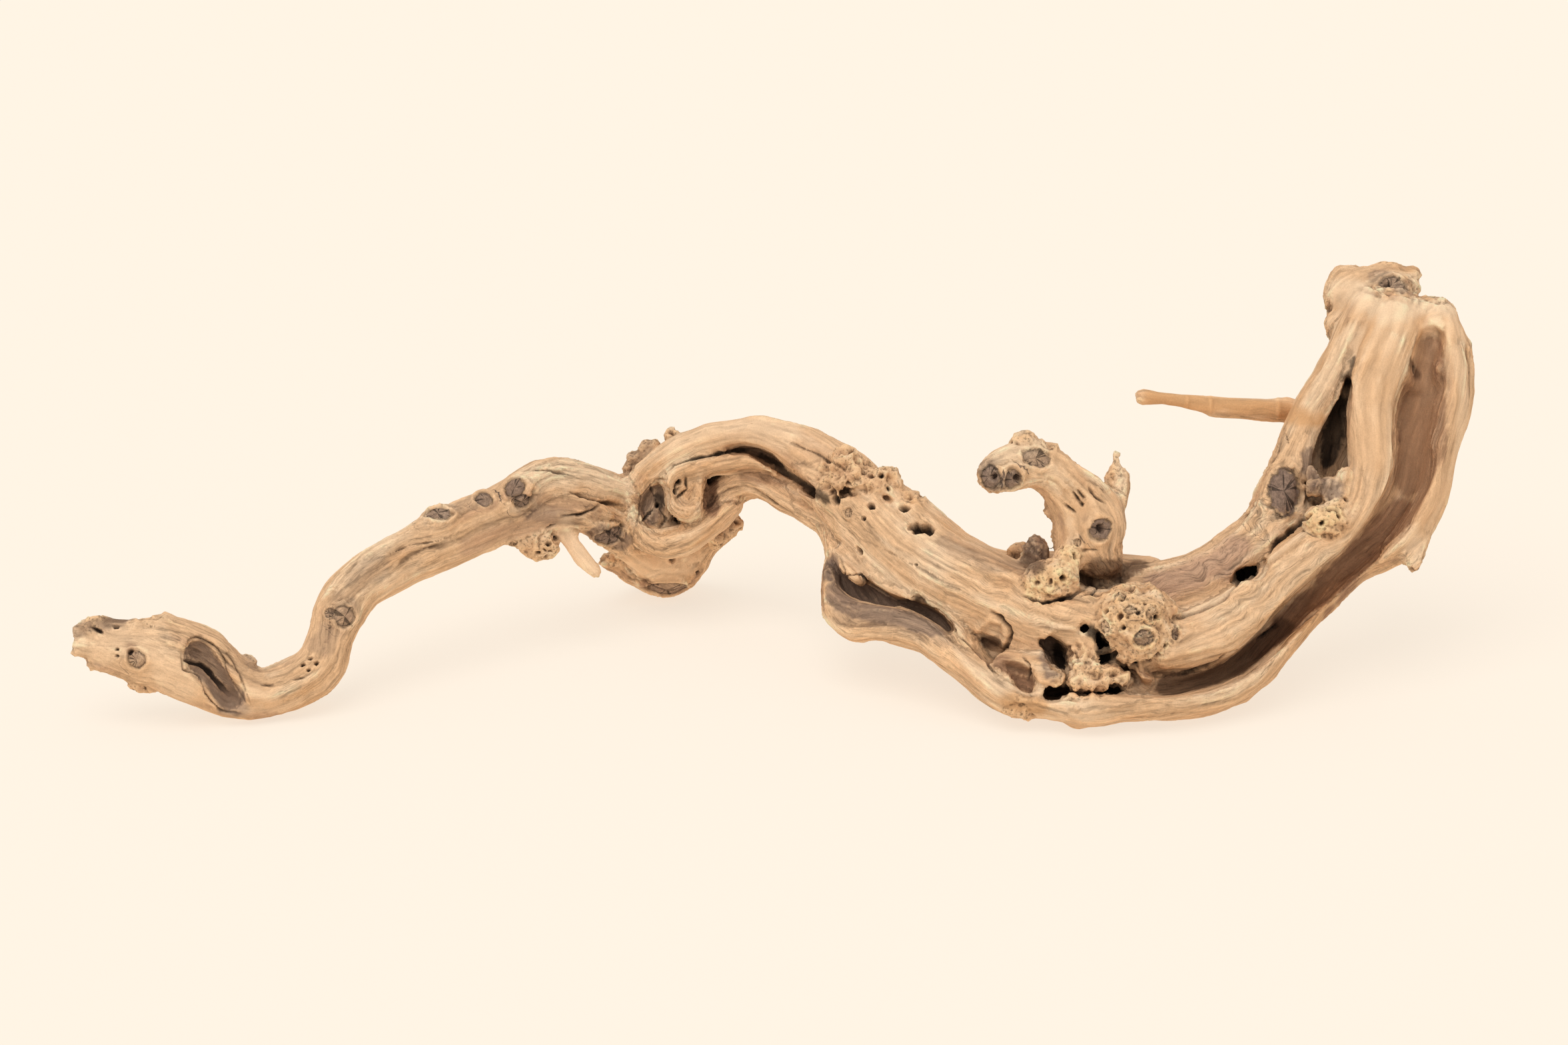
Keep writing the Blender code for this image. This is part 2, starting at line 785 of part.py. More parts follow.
def drop_crumbs(obj):
    """Keeps the one big piece and drops the crumbs that cutting left."""
    bm = bmesh.new()
    bm.from_mesh(obj.data)
    left = set(bm.verts)
    pieces = []
    while left:
        piece = []
        waiting = [left.pop()]
        while waiting:
            vert = waiting.pop()
            piece.append(vert)
            for edge in vert.link_edges:
                other = edge.other_vert(vert)
                if other in left:
                    left.remove(other)
                    waiting.append(other)
        pieces.append(piece)
    pieces.sort(key=len)
    crumbs = [vert for piece in pieces[:-1] for vert in piece]
    bmesh.ops.delete(bm, geom=crumbs, context="VERTS")
    bm.to_mesh(obj.data)
    bm.free()


def swell(obj):
    """Slow waves in the surface, as in wood that grew round its own wounds."""
    outward = [vert.normal.copy() for vert in obj.data.vertices]
    for vert, normal in zip(obj.data.vertices, outward):
        place = vert.co / SWELL_SIZE
        vert.co += normal * SWELL_HEIGHT * (noise.noise(place) + 0.5 * noise.noise(place * 2.1))


def lay_on_floor(obj):
    """Cuts the lowest points flat where the wood rests, and centres it on the origin."""
    bm = bmesh.new()
    bm.from_mesh(obj.data)
    geometry = bm.verts[:] + bm.edges[:] + bm.faces[:]
    cut = bmesh.ops.bisect_plane(bm, geom=geometry, plane_co=(0, 0, 0), plane_no=(0, 0, -1), clear_outer=True)
    edges = [item for item in cut["geom_cut"] if isinstance(item, bmesh.types.BMEdge)]
    bmesh.ops.triangle_fill(bm, edges=edges, use_beauty=True, normal=(0, 0, -1))
    bmesh.ops.recalc_face_normals(bm, faces=bm.faces)
    low = Vector((min(v.co.x for v in bm.verts), min(v.co.y for v in bm.verts), 0))
    high = Vector((max(v.co.x for v in bm.verts), max(v.co.y for v in bm.verts), 0))
    bmesh.ops.translate(bm, verts=bm.verts, vec=-(low + high) / 2)
    bm.to_mesh(obj.data)
    bm.free()


def bleached_wood():
    """Pale, dry, matt wood."""
    made = bpy.data.materials.new("bleached_wood")
    made.use_nodes = True
    shader = made.node_tree.nodes["Principled BSDF"]
    shader.inputs["Base Color"].default_value = (0.50, 0.34, 0.21, 1)
    shader.inputs["Roughness"].default_value = 0.85
    shader.inputs["Metallic"].default_value = 0.0
    return made


def main():
    for obj in list(bpy.data.objects):
        bpy.data.objects.remove(obj)
    wood = mesh_object(NODE_NAME, all_strands)
    hollows = mesh_object("hollows", all_hollows)
    hollows.hide_render = True
    hollows.display_type = "WIRE"
    add_modifier(hollows, "REMESH", mode="VOXEL", voxel_size=GRAIN_VOXEL)
    add_modifier(wood, "REMESH", mode="VOXEL", voxel_size=GRAIN_VOXEL)
    add_modifier(wood, "BOOLEAN", operation="DIFFERENCE", object=hollows, solver="MANIFOLD")
    apply_modifiers(wood)
    wood_with_lace(wood)
    add_modifier(wood, "REMESH", mode="VOXEL", voxel_size=GRAIN_VOXEL)
    add_modifier(wood, "SMOOTH", factor=0.5, iterations=2)
    apply_modifiers(wood)
    drop_crumbs(wood)
    swell(wood)
    add_modifier(wood, "DECIMATE", ratio=TRIANGLES / (2 * len(wood.data.polygons)))
    apply_modifiers(wood)
    lay_on_floor(wood)
    bpy.data.objects.remove(hollows)
    wood.data.materials.clear()
    wood.data.materials.append(bleached_wood())
    wood.data.shade_smooth()


main()
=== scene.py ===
# %% [markdown]
# # A piece of driftwood
# An old vine stem that sun and water have bleached. It lies on three low points on a pale studio
# floor: a broken blunt head and an arm on the left, a strand that curls into a loop over a foot, a
# fluted trunk with burls and a stump, and a raised arm on the right whose strands have parted.

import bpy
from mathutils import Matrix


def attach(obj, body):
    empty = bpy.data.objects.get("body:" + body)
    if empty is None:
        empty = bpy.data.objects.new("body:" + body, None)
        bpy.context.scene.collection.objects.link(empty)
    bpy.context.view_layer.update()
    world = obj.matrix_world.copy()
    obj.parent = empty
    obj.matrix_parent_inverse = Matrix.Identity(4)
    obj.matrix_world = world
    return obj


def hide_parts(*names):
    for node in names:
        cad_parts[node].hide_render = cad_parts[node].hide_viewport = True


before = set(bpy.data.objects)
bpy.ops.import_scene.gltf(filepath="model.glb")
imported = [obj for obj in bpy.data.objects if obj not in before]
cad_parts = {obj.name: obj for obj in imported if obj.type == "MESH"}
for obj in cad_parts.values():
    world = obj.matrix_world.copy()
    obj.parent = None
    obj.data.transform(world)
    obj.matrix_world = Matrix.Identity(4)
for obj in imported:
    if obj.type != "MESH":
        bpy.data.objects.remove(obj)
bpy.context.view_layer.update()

# %% [markdown]
# ## The view
# Everything on the wood is found by its place in the photograph's view: millimetres across and down
# from the frame's top left corner, in a frame 1 metre wide. A knot is put where a sight line through
# such a place meets the wood, so it sits on the surface from every side.

# %% The view's own measures
import math

import bpy
import numpy as np
from mathutils import Vector
from mathutils.bvhtree import BVHTree
from mathutils.kdtree import KDTree

MM = 0.001
VIEW_WIDTH = 1.0
VIEW_HEIGHT = 0.6665
VIEW_TILT = math.radians(20.0)
EYE_DISTANCE = 2.6
VIEW_CENTRE = np.array((0.0005, -0.0865, 0.1275))  # the middle of the view, from the middle of the wood

RIGHT = np.array((1.0, 0.0, 0.0))
UP = np.array((0.0, math.sin(VIEW_TILT), math.cos(VIEW_TILT)))
AWAY = np.array((0.0, math.cos(VIEW_TILT), -math.sin(VIEW_TILT)))
EYE = VIEW_CENTRE - AWAY * EYE_DISTANCE


def seen(across, down, back):
    """The point at a place in the view, back millimetres behind the view's middle plane."""
    spread = 1 + back * MM / EYE_DISTANCE
    side = (across * MM - VIEW_WIDTH / 2) * spread
    rise = (VIEW_HEIGHT / 2 - down * MM) * spread
    return VIEW_CENTRE + RIGHT * side + UP * rise + AWAY * (back * MM)


def unit(vectors):
    """The same directions, each of length 1."""
    return vectors / np.maximum(np.linalg.norm(vectors, axis=-1, keepdims=True), 1e-9)


# %% [markdown]
# ## A finer skin
# The frame's solid is made of flat facets. A copy of it is joined up, rebuilt from small even cells
# and smoothed, so that the facets go and the form stays. Even cells matter later, because ridges
# and pits are pushed in and out point by point.

# %% Copy the solid and rebuild it from small cells
CELL = 0.00105


def only(obj):
    """Selects one object and makes it active."""
    bpy.ops.object.select_all(action="DESELECT")
    obj.select_set(True)
    bpy.context.view_layer.objects.active = obj


def apply_modifier(obj, kind, **settings):
    """Adds a modifier and applies it at once."""
    only(obj)
    made = obj.modifiers.new(kind.title(), kind)
    for name, value in settings.items():
        setattr(made, name, value)
    bpy.ops.object.modifier_apply(modifier=made.name)


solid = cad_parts["driftwood"]
wood = bpy.data.objects.new("weathered_wood", solid.data.copy())
bpy.context.scene.collection.objects.link(wood)
wood.data.materials.clear()
only(wood)
bpy.ops.object.mode_set(mode="EDIT")
bpy.ops.mesh.select_all(action="SELECT")
bpy.ops.mesh.remove_doubles(threshold=0.00001)
bpy.ops.object.mode_set(mode="OBJECT")
apply_modifier(wood, "REMESH", mode="VOXEL", voxel_size=CELL)
apply_modifier(wood, "SMOOTH", factor=0.5, iterations=10)
print("fine skin:", len(wood.data.vertices), "points")


# %% Read the points, and write them back
def read(layer, name, size, kind=np.float32):
    flat = np.empty(len(layer) * size, dtype=kind)
    layer.foreach_get(name, flat)
    return flat.reshape(-1, size) if size > 1 else flat


def points_of(mesh):
    return read(mesh.vertices, "co", 3)


def normals_of(mesh):
    return read(mesh.vertex_normals, "vector", 3)


def soften(mesh, values, rounds):
    """Averages the value at each point with its neighbours' values."""
    ends = read(mesh.edges, "vertices", 2, np.int32)
    count = 1 + np.bincount(ends.ravel(), minlength=len(values))
    for _ in range(rounds):
        total = values + np.bincount(ends[:, 0], values[ends[:, 1]], len(values))
        values = (total + np.bincount(ends[:, 1], values[ends[:, 0]], len(values))) / count
    return values


points = points_of(wood.data)
normals = normals_of(wood.data)

# %% [markdown]
# ## Where the grain runs
# Grain follows the strands that the stem grew from. Each strand is a line of stations, (across,
# down, back, half width). A point of the skin takes its grain from the nearest strand, measured in
# widths of that strand, so a thick one wins over a thin one beside it.

# %% The strands
GRAIN_LINES = {
    "arm": (
        (46, 406, 5, 9), (66, 411, 5, 16), (84, 415, 5, 20), (105, 418, 6, 24), (127, 427, 13, 24),
        (147, 439, 20, 19), (168, 443, 27, 16), (190, 435, 31, 17), (204, 424, 36, 16),
        (211, 406, 41, 16), (217, 389, 46, 17), (229, 373, 53, 17), (254, 357, 68, 17),
        (280, 345, 83, 18), (303, 334, 98, 18), (325, 323, 112, 18), (345, 310, 124, 17),
        (365, 308, 138, 14), (385, 312, 154, 13), (405, 319, 174, 12), (425, 326, 194, 12),
    ),
    "lower arm": (
        (300, 340, 98, 12), (325, 331, 112, 15), (350, 326, 123, 15), (372, 328, 136, 12),
        (388, 337, 154, 12), (402, 349, 180, 10), (415, 358, 206, 12),
    ),
    "fork": (
        (358, 326, 128, 8), (361, 335, 126, 6), (363, 344, 124, 6), (368, 352, 122, 6),
        (380, 367, 119, 4),
    ),
    "loop": (
        (600, 362, 62, 20), (562, 322, 98, 17), (536, 302, 114, 19), (508, 285, 125, 15),
        (485, 277, 136, 11), (468, 277, 144, 10), (452, 280, 150, 10), (436, 286, 155, 10),
        (422, 295, 158, 10), (411, 304, 160, 9), (404, 316, 160, 7), (404, 328, 160, 6),
        (409, 340, 160, 8), (420, 346, 160, 9), (433, 345, 160, 10), (446, 339, 160, 9),
        (457, 331, 162, 8), (468, 321, 164, 6),
    ),
    "loop's inner curl": (
        (506, 303, 132, 4), (482, 293, 140, 6), (463, 295, 146, 6), (444, 298, 149, 6),
        (431, 303, 149, 6), (427, 312, 148, 5), (430, 321, 147, 5), (438, 327, 146, 6),
        (446, 322, 147, 5), (448, 313, 149, 4), (446, 305, 150, 4),
    ),
    "loop's eye": ((420, 308, 168, 9), (418, 320, 167, 10), (414, 332, 168, 9)),
    "arch": (
        (452, 322, 168, 7), (461, 312, 166, 9), (474, 307, 160, 9), (487, 310, 154, 8),
        (501, 318, 144, 8), (515, 326, 132, 8), (527, 336, 120, 8), (533, 351, 108, 7),
    ),
    "foot": (
        (385, 358, 206, 5), (406, 360, 218, 14), (424, 362, 226, 20), (441, 355, 221, 15),
        (462, 338, 196, 8),
    ),
    "trunk": (
        (516, 303, 118, 14), (535, 313, 104, 21), (555, 328, 90, 26), (574, 345, 76, 29),
        (596, 361, 62, 27), (618, 373, 48, 25), (645, 386, 36, 26), (672, 396, 29, 27),
        (697, 401, 25, 26), (722, 404, 24, 24), (745, 408, 24, 20),
    ),
    "tongue": (
        (540, 350, 84, 6), (556, 364, 72, 9), (574, 375, 60, 11), (592, 388, 48, 12), (606, 400, 38, 12),
        (616, 413, 30, 9), (627, 423, 24, 6), (634, 429, 21, 3),
    ),
    "trunk's back": (
        (538, 345, 104, 16), (565, 390, 84, 18), (600, 402, 66, 19), (640, 420, 48, 21),
        (690, 430, 42, 22), (740, 428, 42, 22), (780, 412, 50, 22),
    ),
    "recess ridge": (
        (528, 366, 84, 5), (532, 379, 74, 7), (545, 388, 66, 7), (562, 392, 56, 6), (580, 397, 46, 7),
        (597, 406, 36, 6), (612, 419, 26, 5),
    ),
    "belly plate": ((640, 424, 14, 8), (675, 432, 5, 14), (714, 434, 8, 12), (730, 438, 12, 8)),
    "ridge": (
        (585, 333, 94, 14), (612, 356, 82, 16), (640, 368, 72, 18), (672, 370, 64, 18),
        (705, 372, 60, 18), (735, 373, 56, 18),
    ),
    "shell": (
        (528, 336, 116, 6), (530, 350, 106, 5), (531, 363, 96, 6), (530, 377, 86, 8), (534, 390, 76, 9),
        (547, 399, 64, 10), (564, 400, 52, 10), (587, 405, 40, 10), (606, 418, 30, 10),
        (625, 433, 20, 10), (645, 446, 12, 11), (668, 449, 10, 10), (694, 452, 9, 12), (720, 448, 14, 12),
        (748, 445, 20, 13), (774, 439, 32, 14), (797, 424, 38, 16), (819, 396, 48, 17),
        (851, 356, 60, 22), (878, 335, 67, 28), (893, 315, 72, 29), (898, 296, 74, 29),
        (903, 277, 76, 29), (910, 257, 78, 28), (912, 239, 80, 27), (914, 223, 82, 24),
        (917, 206, 84, 15),
    ),
    "left strand": (
        (722, 382, 44, 18), (746, 378, 44, 21), (768, 370, 45, 20), (787, 357, 47, 19),
        (805, 340, 50, 17), (815, 319, 53, 15), (822, 296, 57, 12), (829, 276, 61, 11),
        (838, 258, 65, 11), (848, 241, 69, 11), (857, 223, 73, 11), (865, 206, 77, 11),
        (872, 194, 80, 11),
    ),
    "middle strand": (
        (738, 414, 14, 14), (758, 409, 15, 17), (779, 401, 17, 17), (800, 385, 20, 17),
        (821, 365, 25, 16), (838, 350, 30, 15), (855, 340, 35, 14), (868, 322, 39, 14),
        (874, 301, 42, 14), (873, 279, 46, 15), (872, 254, 52, 16), (879, 233, 58, 17),
        (886, 214, 66, 16), (890, 202, 74, 14),
    ),
    "right arm's back": (
        (716, 400, 62, 18), (785, 374, 68, 20), (815, 350, 74, 20), (838, 320, 80, 20),
        (850, 290, 86, 19), (858, 262, 90, 17), (866, 236, 92, 16), (874, 212, 96, 16),
    ),
    "crown": ((852, 198, 104, 12), (866, 184, 102, 14), (890, 178, 100, 12)),
    "stump": (
        (703, 373, 38, 12), (700, 358, 33, 16), (695, 346, 28, 23), (694, 332, 24, 24),
        (688, 319, 21, 20), (676, 306, 17, 16), (664, 298, 13, 15), (647, 298, 6, 15), (632, 304, 1, 12),
    ),
    "horn": ((711, 322, 30, 8), (713, 309, 32, 8), (713, 301, 33, 7), (712, 290, 34, 3)),
    "cane": (
        (842, 268, 90, 8), (821, 261, 86, 8), (784, 259, 80, 7), (752, 255, 76, 5), (727, 253, 72, 6),
    ),
}
STATION_SPACING = 3 * MM


def curve(t, a, b, c, d):
    """A smooth curve's value between b and c, where t goes from 0 to 1."""
    return 0.5 * (2 * b + (c - a) * t + (2 * a - 5 * b + 4 * c - d) * t**2 + (3 * b - a - 3 * c + d) * t**3)


def smooth_line(stations):
    """Points, directions and half widths, evenly spaced on a smooth curve through the stations."""
    ends = np.array([stations[0], *stations, stations[-1]], dtype=float)
    rows = [curve(t, *four) for four in zip(ends, ends[1:], ends[2:], ends[3:]) for t in np.arange(8) / 8]
    rows = np.array([*rows, ends[-1]])
    places = np.array([seen(*row[:3]) for row in rows])
    along = np.concatenate(([0], np.cumsum(np.linalg.norm(np.diff(places, axis=0), axis=1))))
    wanted = np.arange(0, along[-1], STATION_SPACING)
    line = np.stack([np.interp(wanted, along, places[:, axis]) for axis in range(3)], axis=1)
    return line, np.gradient(line, axis=0), np.interp(wanted, along, rows[:, 3]) * MM


lines = [smooth_line(stations) for stations in GRAIN_LINES.values()]
line_points = np.concatenate([line[0] for line in lines]).astype(np.float32)
line_ways = unit(np.concatenate([line[1] for line in lines])).astype(np.float32)
line_widths = np.concatenate([line[2] for line in lines]).astype(np.float32)
print("grain lines:", len(lines), "with", len(line_points), "stations")


AT_ONCE = 8192  # places looked up together, to spare memory


def nearest_station(places):
    """The index of the strand station that each place belongs to."""
    found = np.empty(len(places), dtype=np.int32)
    for start in range(0, len(places), AT_ONCE):
        part = places[start : start + AT_ONCE].astype(np.float32)
        gap = (part**2).sum(1)[:, None] - 2 * part @ line_points.T + (line_points**2).sum(1)[None]
        found[start : start + AT_ONCE] = np.argmin(gap / line_widths[None] ** 2, axis=1)
    return found


# %% [markdown]
# ## Knots, burls and hollows, by their places
# A branch that died leaves a knot: a disc of end grain, grey and split like a cake, that the grain
# flows round. A burl is a lump of hundreds of sleeping buds, knobbly and full of small holes. Each
# is listed by its place in the view, with its size in millimetres. A list given one by one is the right
# way here, because nothing but the real piece says where its knots are.

# %% The knots, burls and holes
# (across, down, half width, half height, how hollow, how grey)
KNOTS = (
    (87, 421, 5.5, 5.5, 0.3, 0.5), (279, 327, 8.5, 4.5, 0.8, 0.8), (309, 318, 5.5, 5.5, 0.5, 0.8),
    (328, 311, 6.5, 6.5, 0.7, 0.9), (333, 320, 5.5, 4.5, 0.7, 0.8), (220, 393, 7, 6.5, 0.4, 0.4),
    (210, 391, 3.2, 3.2, 0.2, 0.5), (207, 445, 3.5, 3.5, 0.2, 0.6), (702.5, 337.5, 7, 7, 1.8, 0.9),
    (661, 292, 9, 6, 0.8, 0.6), (631, 304, 6.5, 7, 0.8, 0.8), (646, 306, 6, 6, 0.8, 0.75),
    (730, 407, 6.5, 5, 0.6, 0.7), (749, 404, 2.8, 4.2, 0.5, 0.6), (819, 313, 10, 16, 0.8, 0.95),
    (888, 181, 8, 6, 1.6, 0.5), (425, 376.5, 13.5, 5.5, 0.8, 0.6), (389, 343, 10, 6, 0.6, 0.8),
    (714, 380, 3.5, 3, 0.8, 0.3), (721, 389, 4, 3, 0.6, 0.2), (704, 400, 4, 4, 0.8, 0.3),
    (735, 392, 4, 4, 0.6, 0.2), (541, 327, 3, 3, 0.6, 0.2), (687, 346, 2.5, 2.5, 0.5, 0.2),
    (327, 346, 3, 3, 0.5, 0.2),
)
# (across, down, back, radius, how lumpy, how pitted)
BURLS = (
    (724, 398, 10, 30, 1.1, 0.25), (540, 303, 90, 21, 1.6, 0.2), (561, 308, 84, 16, 1.6, 0.25),
    (581, 325, 76, 13, 1.3, 0.2), (596, 337, 68, 10, 1, 0.3), (345, 349, 116, 14, 1, 0.6),
    (333, 345, 112, 9, 0.8, 0.4), (406, 297, 172, 11, 1.3, 0.4), (414, 286, 172, 9, 1.3, 0.3),
    (430, 278, 168, 8, 1.2, 0.3), (456, 344, 184, 10, 1.1, 0.4), (467, 335, 182, 10, 1.1, 0.3),
    (668, 371, 12, 18, 1, 0.45), (681, 356, 14, 10, 0.8, 0.3), (653, 284, 10, 10, 1.2, 0.3),
    (666, 288, 13, 10, 1, 0.2), (676, 290, 16, 6, 0.8, 0.3), (649, 352, 56, 8, 1.2, 0.5),
    (846, 333, 24, 15, 1, 0.7), (852, 321, 30, 9, 0.8, 0.5), (839, 311, 30, 6, 0.8, 0),
    (847, 308, 34, 5, 0.8, 0), (857, 306, 32, 5, 0.8, 0), (650, 452, 4, 12, 1.2, 0.3),
    (97, 397, 2, 10, 0.8, 0.1), (60, 398, 4, 10, 1, 0.1), (91, 441, 6, 9, 1, 0.3),
    (690, 432, 2, 22, 1.7, 0.3), (714, 430, 4, 15, 1.7, 0.3), (394, 356, 205, 9, 0.9, 0.4),
    (159, 421, 24, 6, 1.3, 0.2), (438, 352, 215, 9, 0.7, 0.5), (885, 172, 102, 8, 0.3, 0),
    (197, 423, 32, 8, 0.4, 0.3), (712, 300, 33, 10, 0.8, 0.1),
)
# (across, down, radius, depth)
HOLES = (
    (548, 351, 2.5, 7), (533, 319, 2.8, 5), (540, 311, 2.4, 5), (556, 323, 2.6, 6), (567, 312, 1.8, 3),
    (577, 324, 3.4, 7), (585, 337, 4.6, 9), (591, 337, 4.6, 9), (341, 316, 4, 7), (586, 383, 3.6, 6),
    (678, 369, 2.4, 6), (686, 354, 2.2, 5), (419, 322, 1.5, 6), (433, 308, 1.7, 4), (431, 314, 1.5, 4),
    (634, 304, 2.2, 6), (649, 305, 2.4, 6), (702.5, 337.5, 3, 7), (350, 346, 2.2, 5), (355, 343, 1.7, 4),
    (343, 353, 2, 5), (74, 400, 1.6, 3), (83, 416, 1.8, 3), (75, 414, 1.2, 2), (75, 418.5, 1.2, 2),
    (193, 424, 1.5, 3), (197, 427.5, 1.3, 3), (202, 423, 1.5, 3), (198, 420, 1.3, 3), (429, 357, 2.2, 5),
    (724, 422, 2.6, 6), (795, 366, 5, 10), (800, 362, 4.5, 10), (885, 181, 3, 5), (901, 235, 2.2, 4),
    (705, 390, 1.8, 4), (716, 383, 1.7, 4), (738, 394, 1.8, 4), (726, 391, 1.5, 3), (743, 412, 1.6, 4),
    (716, 400, 1.8, 4), (562, 303, 1.8, 4), (551, 331, 1.5, 3), (843, 334, 1.8, 4), (852, 326, 1.8, 4),
    (835, 329, 1.6, 4), (404, 300, 1.7, 4), (640, 454, 1.5, 3), (690, 322, 1.2, 2), (584.5, 360, 1, 2),
    (445, 365, 1.4, 3), (723, 425, 2.6, 5),
)

# %% [markdown]
# ## Splits, lips and stains
# These run along a row of places and not round one. A split is a drying crack or the dark line
# round a scar, a lip is a raised fold or a torn edge, and a stain is a band of one colour. Two of the
# stains aren't colours: smooth says where the surface was rubbed even, and wavy where the grain
# ripples beside a knot.

# %% The splits, the lips and the stains
# (width, depth, the places that the split runs through)
SPLITS = (
    (1.6, 4, ((116, 421), (128, 424), (135, 430), (140, 437), (146, 443))),
    (1.2, 3, ((58, 400), (66, 404))),
    (0.9, 1.2, ((145, 413), (153, 430), (160, 450))),
    (1, 1.5, ((166, 437), (175, 437))),
    (1, 1.5, ((185, 434), (195, 432))),
    (1.1, 2.2, ((335, 300), (350, 300), (365, 303))),
    (1.5, 4, ((363, 314), (375, 318), (388, 321), (398, 323))),
    (1.2, 3, ((358, 329), (370, 328), (378, 325), (383, 321))),
    (1, 2, ((348, 337), (355, 334))),
    (0.9, 1.3, ((236, 358), (262, 347), (280, 345), (300, 337))),
    (1.3, 3, ((425, 302), (430, 297), (440, 293), (455, 290), (470, 287), (482, 286))),
    (1.2, 3, ((437, 304), (438, 312), (431, 318))),
    (1, 1.5, ((500, 281), (520, 289), (540, 300))),
    (1.5, 5, ((632, 390), (639, 394), (644, 400), (645, 404), (643, 412))),
    (1.2, 2.5, ((610, 405), (622, 416), (636, 431))),
    (0.8, 0.8, ((548, 343), (575, 356), (600, 370), (625, 383))),
    (1.1, 2.6, ((116, 417), (120, 408), (128, 406), (136, 411), (143, 423), (149, 436), (158, 450))),
    (1.1, 2.6, ((115, 415), (117, 427), (127, 431), (132, 443), (140, 453), (154, 455))),
    (1, 2.6, ((411, 370), (418, 375), (427, 378), (438, 374))),
    (1.2, 3, ((536, 356), (540, 367), (549, 366), (557, 374), (573, 383), (581, 384))),
    (1.4, 4, ((590, 385), (599, 390), (606, 397), (611, 405))),
    (1.2, 3, ((652, 418), (657, 426), (655, 434))),
    (1, 2.5, ((384, 338), (391, 340), (399, 346))),
    (1, 2.5, ((432, 306), (430, 314), (434, 311))),
    (1.2, 3, ((694, 371), (700, 376), (688, 381))),
    (1, 2, ((419, 322), (408, 334))),
    (1, 2, ((419, 322), (414, 308))),
    (1, 2, ((419, 322), (425, 331), (420, 337))),
    (0.9, 1.5, ((426, 306), (418, 306), (409, 316), (407, 332), (416, 338))),
    (1.6, 3.5, ((687, 312), (692, 318))),
    (1.4, 3, ((684, 313), (689, 321))),
    (1.3, 3, ((679, 322), (686, 327))),
    (1.1, 2.5, ((694, 310), (699, 317), (705, 321))),
    (1.2, 2.5, ((690, 351), (700, 351))),
    (1.5, 3, ((652, 380), (665, 384), (682, 381), (694, 374))),
    (2.4, 7, ((836, 328), (826, 336), (815, 345), (803, 360))),
    (2.4, 7, ((791, 371), (780, 383), (765, 390), (750, 394))),
    (1, 2, ((820, 344), (830, 338), (840, 343))),
    (1.2, 2, ((820, 277), (822, 283))),
    (1.2, 2, ((872, 182), (886, 189), (900, 190))),
    (1.8, 5, ((752, 430), (770, 424), (789, 414))),
    (1.4, 3, ((802, 408), (810, 402), (816, 398))),
)
# (width, height, the places that the raised lip runs through)
LIPS = (
    (2.6, 3.2, ((622, 411), (624, 401), (632, 395), (640, 397), (642, 405), (640, 414), (635, 417))),
    (2.2, 2.4, ((611, 397), (615, 410), (624, 421), (634, 429))),
    (1.8, 2.5, ((664, 416), (664, 407), (672, 401), (684, 401))),
    (1.6, 3, ((688, 408), (693, 416), (688, 424))),
    (1.6, 3, ((694, 427), (704, 429), (713, 427))),
    (1.5, 2.6, ((667, 434), (676, 432), (685, 436))),
    (1.5, 2.6, ((699, 434), (712, 433), (722, 430))),
    (1.8, 2.5, ((645, 441), (650, 447), (660, 447), (664, 441))),
    (1.6, 4, ((856, 260), (857, 274), (858, 286))),
    (1.4, 4, ((829, 293), (830, 307), (830, 322))),
    (1.2, 3.5, ((836, 305), (837, 320))),
    (1.3, 1.3, ((757, 248), (757, 259))),
    (1.3, 1.5, ((772, 250), (772, 264))),
    (1.3, 1.5, ((815, 254), (815, 268))),
    (2, 2, ((866, 182), (876, 186), (888, 190), (902, 192))),
    (3.4, 3, ((917, 233), (920, 238))),
    (1.5, 1.5, ((484, 300), (495, 303), (505, 308), (515, 313))),
    (2.4, 2.4, ((491, 297), (495, 298))),
    (1.4, 1.6, ((382, 352), (392, 354), (402, 352), (410, 353))),
    (1.6, 1.8, ((447, 303), (447, 315), (448, 324))),
)
